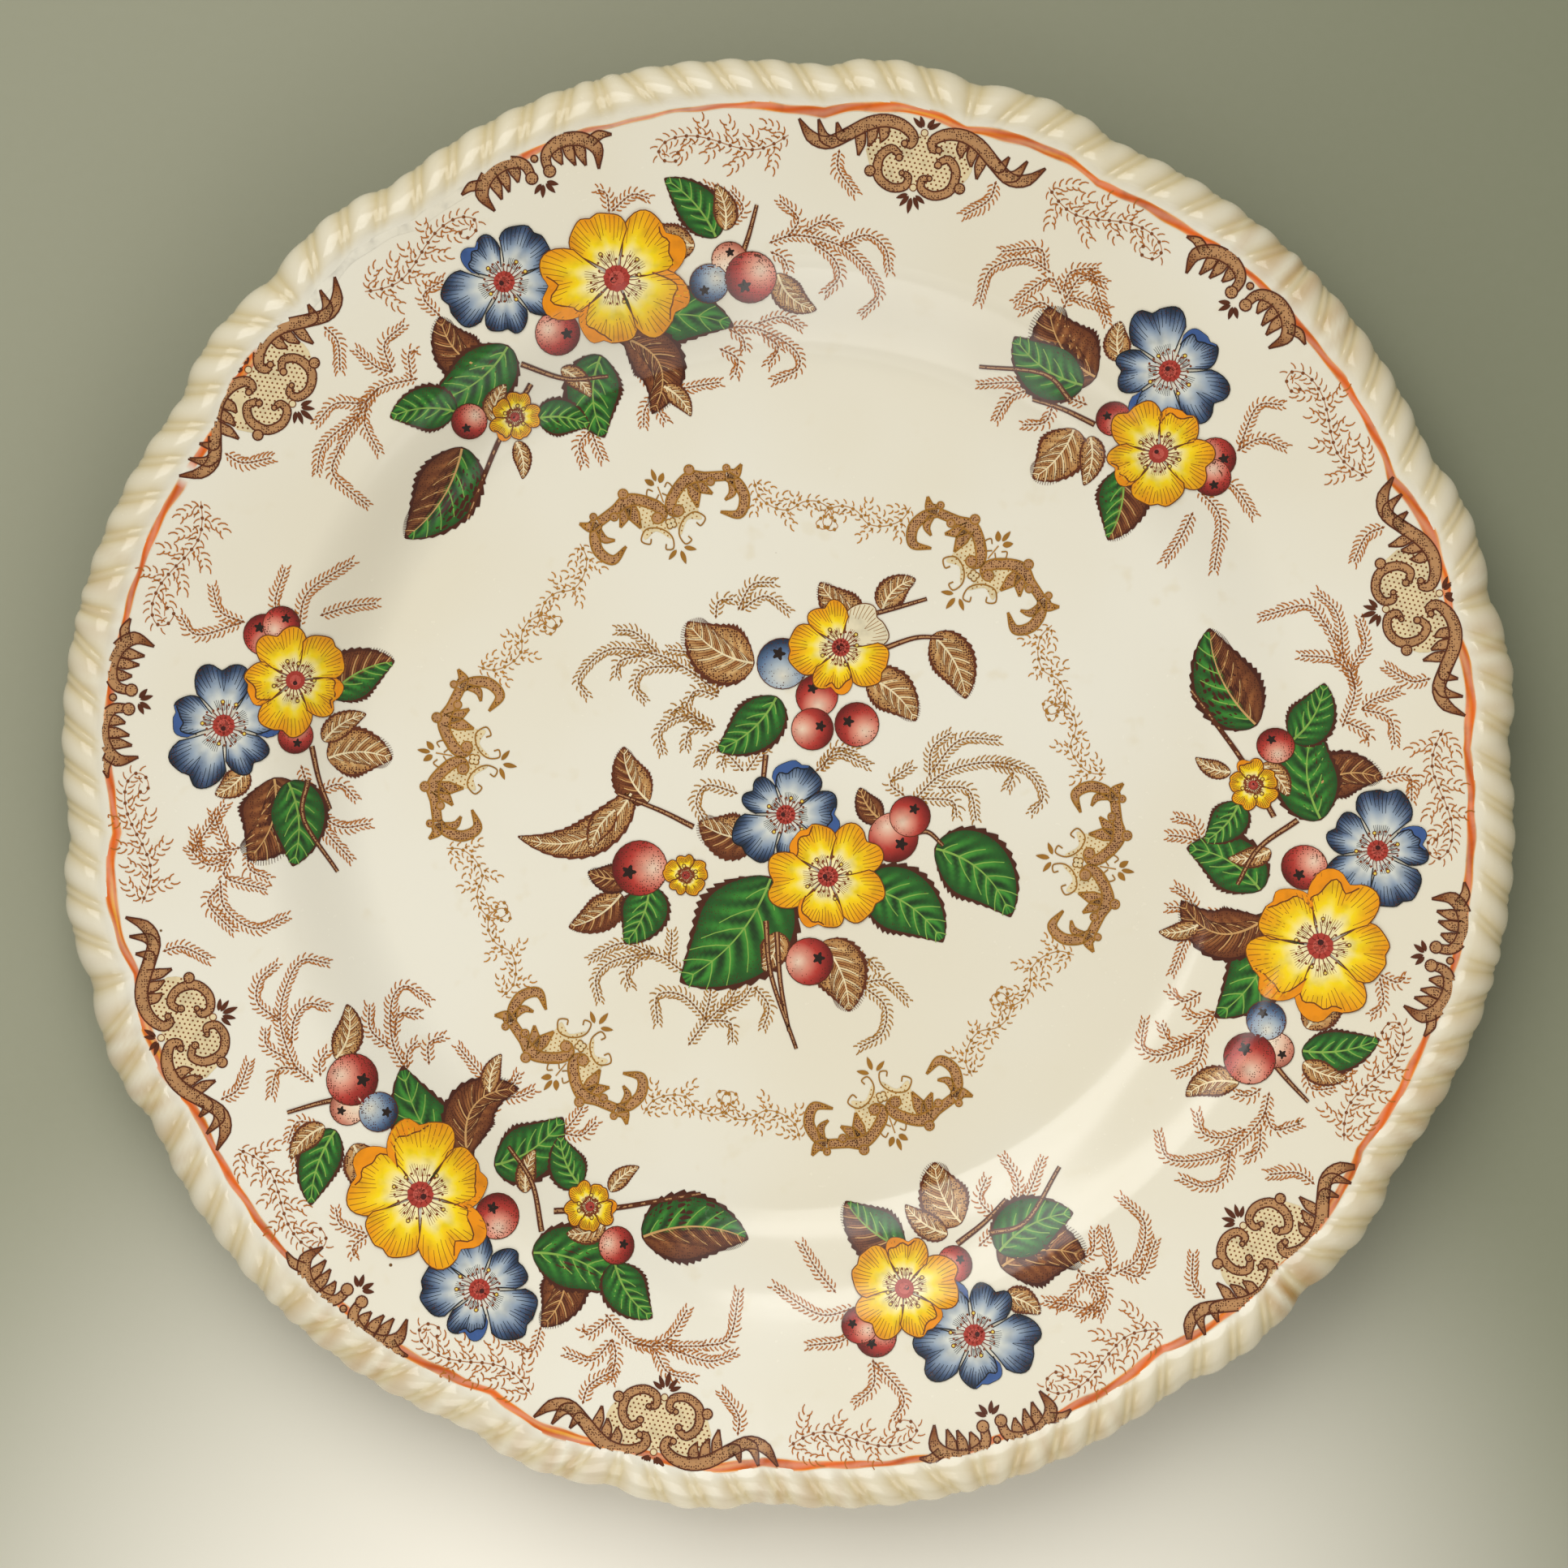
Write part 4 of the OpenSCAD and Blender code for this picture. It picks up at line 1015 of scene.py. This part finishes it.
def makeLine():
    # a wavering strip beside the ribs: its colour and cover change along its length and across it
    n, across = 2160, 9
    angle = np.linspace(0, 360, n, endpoint=False)
    a = np.radians(angle)
    wobble = 0.16 * np.sin(a * 23 + 1) + 0.10 * np.sin(a * 51) + 0.08 * np.sin(a * 97 + 2)
    width = lineBrush["width"] * (1 + 0.25 * np.sin(a * 17 + 0.5) * np.sin(a * 5) + 0.14 * np.sin(a * 71))
    near = np.exp(-((np.abs(cuspAngle(angle)) - 5) / 4.5) ** 2)
    width = width * (1 + 0.35 * near)
    thin = np.clip(1 - np.abs(angle - lineBrush["thinAt"]) / lineBrush["thinSpread"], 0, 1)
    width = width * (1 - 0.45 * thin)
    v = np.linspace(-1, 1, across)[:, None]
    r = innerLine(angle) - 0.62 + wobble + v * width / 2
    xy = (r * np.exp(1j * a)[None, :])
    strength = 0.5 + 0.5 * np.sin(a * 31 + 2 * np.sin(a * 7))
    tone = mix(colour(lineBrush["strong"]), colour(lineBrush["deep"]), strength * 0.7)
    gold = np.clip(np.abs(v) * 1.5 - 0.8 + 0.35 * thin + 0.12 * np.sin(a * 40), 0, 1)
    split = near * np.exp(-((v + 0.15) / 0.22) ** 2) * (0.6 + 0.4 * np.sin(a * 29))
    paint = mix(tone[None, :, :], colour(lineBrush["gold"]), np.maximum(gold, split))
    cover = np.clip((1.02 - np.abs(v)) * 5, 0, 1) * np.ones(n)
    for low, high in lineBrush["gaps"]:
        inGap = np.clip(np.minimum(angle - low, high - angle) * 1.2, 0, 1)
        cover = cover * (1 - inGap)
    cover = cover * (0.9 + 0.1 * np.sin(a * 61 + v * 3)) * (1 - 0.3 * thin)
    paint = np.concatenate([paint[..., :3], cover[..., None]], axis=-1)
    z = topHeight(xy.real, xy.imag) + 0.045
    points = np.stack([xy.real, xy.imag, z], axis=-1).reshape(-1, 3)
    faces = gridFaces(across, n)[:, ::-1].tolist()
    attributes = {"paint": paint.reshape(-1, 4), "grain": np.zeros(across * n)}
    line = makeMesh("enamelLine", points, faces, attributes)
    line.data.materials.append(printFinish)
    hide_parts("enamel_line")
    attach(line, "root")
    return line


glaze = {
    "cream": "E5E1D2",
    "warm": "E0D9C4",
    # olive cream for the pooled glaze and the painted shade in the grooves
    "pooledShaded": "BFAA70",
    "amber": "A87A2C",
    "speck": "6B4A22",
    "glossiest": 0.10,
    "dullest": 0.19,
    "worn": 0.12,
}


def newFinish(name):
    # a material with its node tree and its shader
    material = bpy.data.materials.new(name)
    material.use_nodes = True
    return material, material.node_tree, material.node_tree.nodes["Principled BSDF"]


def addNode(tree, kind, settings=None, inputs=None):
    # a node with its settings, its input values and the sockets that feed it
    node = tree.nodes.new(kind)
    for key, value in (settings or {}).items():
        setattr(node, key, value)
    for key, value in (inputs or {}).items():
        if isinstance(value, bpy.types.NodeSocket):
            tree.links.new(value, node.inputs[key])
        else:
            node.inputs[key].default_value = value
    return node


def blend(tree, amount, a, b, kind="MIX"):
    # a node that goes from colour a to colour b by the amount
    node = tree.nodes.new("ShaderNodeMix")
    node.data_type = "RGBA"
    node.blend_type = kind
    for socket, value in ((node.inputs[0], amount), (node.inputs[6], a), (node.inputs[7], b)):
        value = tuple(colour(value)) if isinstance(value, str) else value
        if isinstance(value, bpy.types.NodeSocket):
            tree.links.new(value, socket)
        else:
            socket.default_value = value
    return node.outputs[2]


def ramp(tree, value, low, high):
    # 0 below low and 1 above high
    node = addNode(tree, "ShaderNodeMapRange", {"interpolation_type": "SMOOTHSTEP"},
                   {"Value": value, "From Min": low, "From Max": high})
    return node.outputs["Result"]


def span(tree, value, low, high, least, most):
    # least at low and most at high, straight between
    limits = {"From Min": low, "From Max": high, "To Min": least, "To Max": most}
    return addNode(tree, "ShaderNodeMapRange", {}, {"Value": value, **limits}).outputs["Result"]


def noise(tree, place, scale, detail=2.0):
    # a soft cloud from 0 to 1
    inputs = {"Vector": place, "Scale": scale, "Detail": detail}
    return addNode(tree, "ShaderNodeTexNoise", {}, inputs).outputs["Fac"]


def attribute(tree, name):
    # what a mesh carries at its points
    return addNode(tree, "ShaderNodeAttribute", {"attribute_name": name}).outputs


def addBump(tree, shader, height, strength, distance):
    # a relief in the shader's normal, its distance in metres
    bump = addNode(tree, "ShaderNodeBump", {}, {"Height": height, "Strength": strength, "Distance": distance})
    tree.links.new(bump.outputs["Normal"], shader.inputs["Normal"])


def glazeColour(tree):
    # cream that drifts slowly to a warmer cream, with a very few iron specks
    place = addNode(tree, "ShaderNodeTexCoord").outputs["Object"]
    speck = addNode(tree, "ShaderNodeTexVoronoi", {}, {"Vector": place, "Scale": 55.0}).outputs["Distance"]
    tone = blend(tree, ramp(tree, noise(tree, place, 11.0, 3.0), 0.35, 0.7), glaze["cream"], glaze["warm"])
    tone = blend(tree, ramp(tree, noise(tree, place, 190.0), 0.62, 0.8), tone, glaze["warm"])
    return blend(tree, ramp(tree, speck, 0.022, 0.014), tone, glaze["speck"]), place


def glazeSurface(tree, shader, place):
    # a gloss with faint ripples, duller in clouds and in fine specks where it is worn
    addBump(tree, shader, noise(tree, place, 70.0), 0.12, 0.0004)
    dull = span(tree, noise(tree, place, 24.0, 4.0), 0.3, 0.75, glaze["glossiest"], glaze["dullest"])
    worn = ramp(tree, noise(tree, place, 900.0), 0.62, 0.72)
    rubbed = addNode(tree, "ShaderNodeMath", {"operation": "MULTIPLY_ADD"}, {0: worn, 1: glaze["worn"], 2: dull})
    tree.links.new(rubbed.outputs[0], shader.inputs["Roughness"])
    shader.inputs["IOR"].default_value = 1.5


def makeGlaze():
    # the cream glaze, darker over the ribbed band and most in its grooves (partly pooled glaze, partly painted
    # shade), and amber where it is stained
    material, tree, shader = newFinish("creamGlaze")
    tone, place = glazeColour(tree)
    # darker toward olive over the ribbed band and most in its grooves: partly pooled glaze, partly painted shade
    tone = blend(tree, ramp(tree, attribute(tree, "poolShade")["Fac"], 0.0, 1.9), tone, glaze["pooledShaded"])
    tone = blend(tree, attribute(tree, "stain")["Fac"], tone, glaze["amber"])
    tree.links.new(tone, shader.inputs["Base Color"])
    glazeSurface(tree, shader, place)
    return material


def makePrintFinish():
    # transfer colour and hand enamels under the same gloss: paint over glaze, then fine dark stipple
    material, tree, shader = newFinish("printUnderGlaze")
    tone, place = glazeColour(tree)
    paint = attribute(tree, "paint")
    grain = attribute(tree, "grain")["Fac"]
    tone = blend(tree, paint["Alpha"], tone, paint["Color"])
    uneven = ramp(tree, noise(tree, place, 420.0), 0.1, 0.6)
    tone = blend(tree, 0.28, tone, blend(tree, 1.0, tone, uneven, "MULTIPLY"))
    cells = {"Vector": place, "Scale": 2400.0, "Randomness": 0.55}
    stipple = addNode(tree, "ShaderNodeTexVoronoi", {}, cells).outputs["Distance"]
    size = addNode(tree, "ShaderNodeMath", {"operation": "MULTIPLY"}, {0: grain, 1: 0.62}).outputs[0]
    mask = addNode(tree, "ShaderNodeMath", {"operation": "LESS_THAN"}, {0: stipple, 1: size}).outputs[0]
    tree.links.new(blend(tree, mask, tone, "4A200A"), shader.inputs["Base Color"])
    glazeSurface(tree, shader, place)
    return material


printFinish = makePrintFinish()
glazeFinish = makeGlaze()
print("finishes made")

body = makeBody()
body.data.materials.append(glazeFinish)
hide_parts("plate_body")
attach(body, "root")
print("plate made:", len(body.data.polygons), "faces")
makeLine()
drawBorder()
drawWreath()
drawSpray(centreSpray, 0, "centrePrint", "centre_print", colour("A8742A"), colour("7A4A18"))
for k in range(3):
    drawSpray(largeSpray, k, "sprayLarge" + str(k + 1), "spray_large_" + str(k + 1))
    drawSpray(smallSpray, k, "spraySmall" + str(k + 1), "spray_small_" + str(k + 1))


view = {
    "distance": 1.25,
    "towardsTop": 4.0,        # degrees off the plate's axis
    "towardsLeft": 2.5,
    "frameWidth": 0.2812,     # metres seen across at the plate
    "aim": (-0.0012, 0.0005, 0.012),
}


def makeCamera():
    # looks at the aim from nearly overhead; its lens is set by the frame's width at the plate
    data = bpy.data.cameras.new("camera")
    camera = bpy.data.objects.new("camera", data)
    bpy.context.scene.collection.objects.link(camera)
    up = np.radians(view["towardsTop"])
    left = np.radians(view["towardsLeft"])
    direction = np.array([-np.sin(left), np.sin(up), np.sqrt(1 - np.sin(left) ** 2 - np.sin(up) ** 2)])
    aim = np.array(view["aim"])
    # the image's right is +X and its top is +Y, both made square to the line of sight
    right = np.cross([0, 1, 0], direction)
    right /= np.linalg.norm(right)
    top = np.cross(direction, right)
    rows = np.column_stack([right, top, direction, aim + direction * view["distance"]])
    camera.matrix_world = Matrix(rows.tolist() + [[0, 0, 0, 1]])
    data.sensor_width = 36
    data.lens = 36 * view["distance"] / view["frameWidth"]
    data.clip_end = 20
    bpy.context.scene.camera = camera
    return camera


# a wide level sheet whose paint carries painted light: a bright painted pool near the plate's lower edge,
# painted shade beyond it and deeper towards +X
def makeFloor():
    # a wide level sheet with a slight fall of tone in its paint
    size = 3.0
    mesh = bpy.data.meshes.new("floor")
    corners = [(-size, -size, 0), (size, -size, 0), (size, size, 0), (-size, size, 0)]
    mesh.from_pydata(corners, [], [(0, 1, 2, 3)])
    floor = bpy.data.objects.new("floor", mesh)
    bpy.context.scene.collection.objects.link(floor)
    material, tree, shader = newFinish("palePaper")
    place = addNode(tree, "ShaderNodeTexCoord").outputs["Object"]
    apart = addNode(tree, "ShaderNodeSeparateXYZ", {}, {0: place})
    # painted shade: darker towards +X, the side away from the window
    paintedShade = blend(tree, ramp(tree, apart.outputs["X"], -0.04, 0.17), "949580", "7C7F68")
    # a painted pool of light: near-white round a spot just past the plate's lower edge, giving way to the
    # painted shade farther off
    off = addNode(tree, "ShaderNodeVectorMath", {"operation": "DISTANCE"}, {0: place, 1: (-0.01, -0.21, 0)})
    tone = blend(tree, ramp(tree, off.outputs["Value"], 0.07, 0.20), "F8F3E8", paintedShade)
    tone = blend(tree, ramp(tree, noise(tree, place, 2.2), 0.4, 1.2), tone, "A6A592")
    tree.links.new(tone, shader.inputs["Base Color"])
    tooth = noise(tree, place, 500.0, 3.0)
    addBump(tree, shader, tooth, 0.08, 0.0003)
    tree.links.new(span(tree, tooth, 0.0, 1.0, 0.75, 0.95), shader.inputs["Roughness"])
    mesh.materials.append(material)
    return floor


def addLamp(name, place, size, power, tint, target=(0, 0, 0.01)):
    # a square lamp that faces its target
    data = bpy.data.lights.new(name, "AREA")
    data.shape = "RECTANGLE"
    data.size = size
    data.size_y = size
    data.energy = power
    data.color = tint
    lamp = bpy.data.objects.new(name, data)
    bpy.context.scene.collection.objects.link(lamp)
    back = np.array(place) - np.array(target)
    back = back / np.linalg.norm(back)
    right = np.cross([0, 1, 0.001], back)
    right /= np.linalg.norm(right)
    top = np.cross(back, right)
    lamp.matrix_world = Matrix(np.column_stack([right, top, back, place]).tolist() + [[0, 0, 0, 1]])
    return lamp


def makeLight():
    # a tall window above and to the left, a low one behind, two soft fills from the front, and a grey room
    addLamp("windowLight", (-0.45, 0.95, 1.45), 1.4, 19.5, (1.0, 0.99, 0.96))
    addLamp("lowWindow", (-0.3, 1.7, 0.9), 1.8, 7, (1.0, 0.99, 0.96))
    addLamp("softFill", (0.3, -1.4, 1.1), 1.6, 6.5, (1.0, 0.98, 0.95))
    addLamp("benchLight", (-0.06, -0.36, 0.22), 0.25, 0.34, (1.0, 0.98, 0.94), (0, -0.19, 0))
    world = bpy.data.worlds.new("studio")
    world.use_nodes = True
    background = world.node_tree.nodes["Background"]
    background.inputs["Color"].default_value = (0.78, 0.76, 0.71, 1)
    background.inputs["Strength"].default_value = 0.5
    bpy.context.scene.world = world


makeCamera()
makeFloor()
makeLight()
bpy.context.scene.view_settings.view_transform = "Standard"
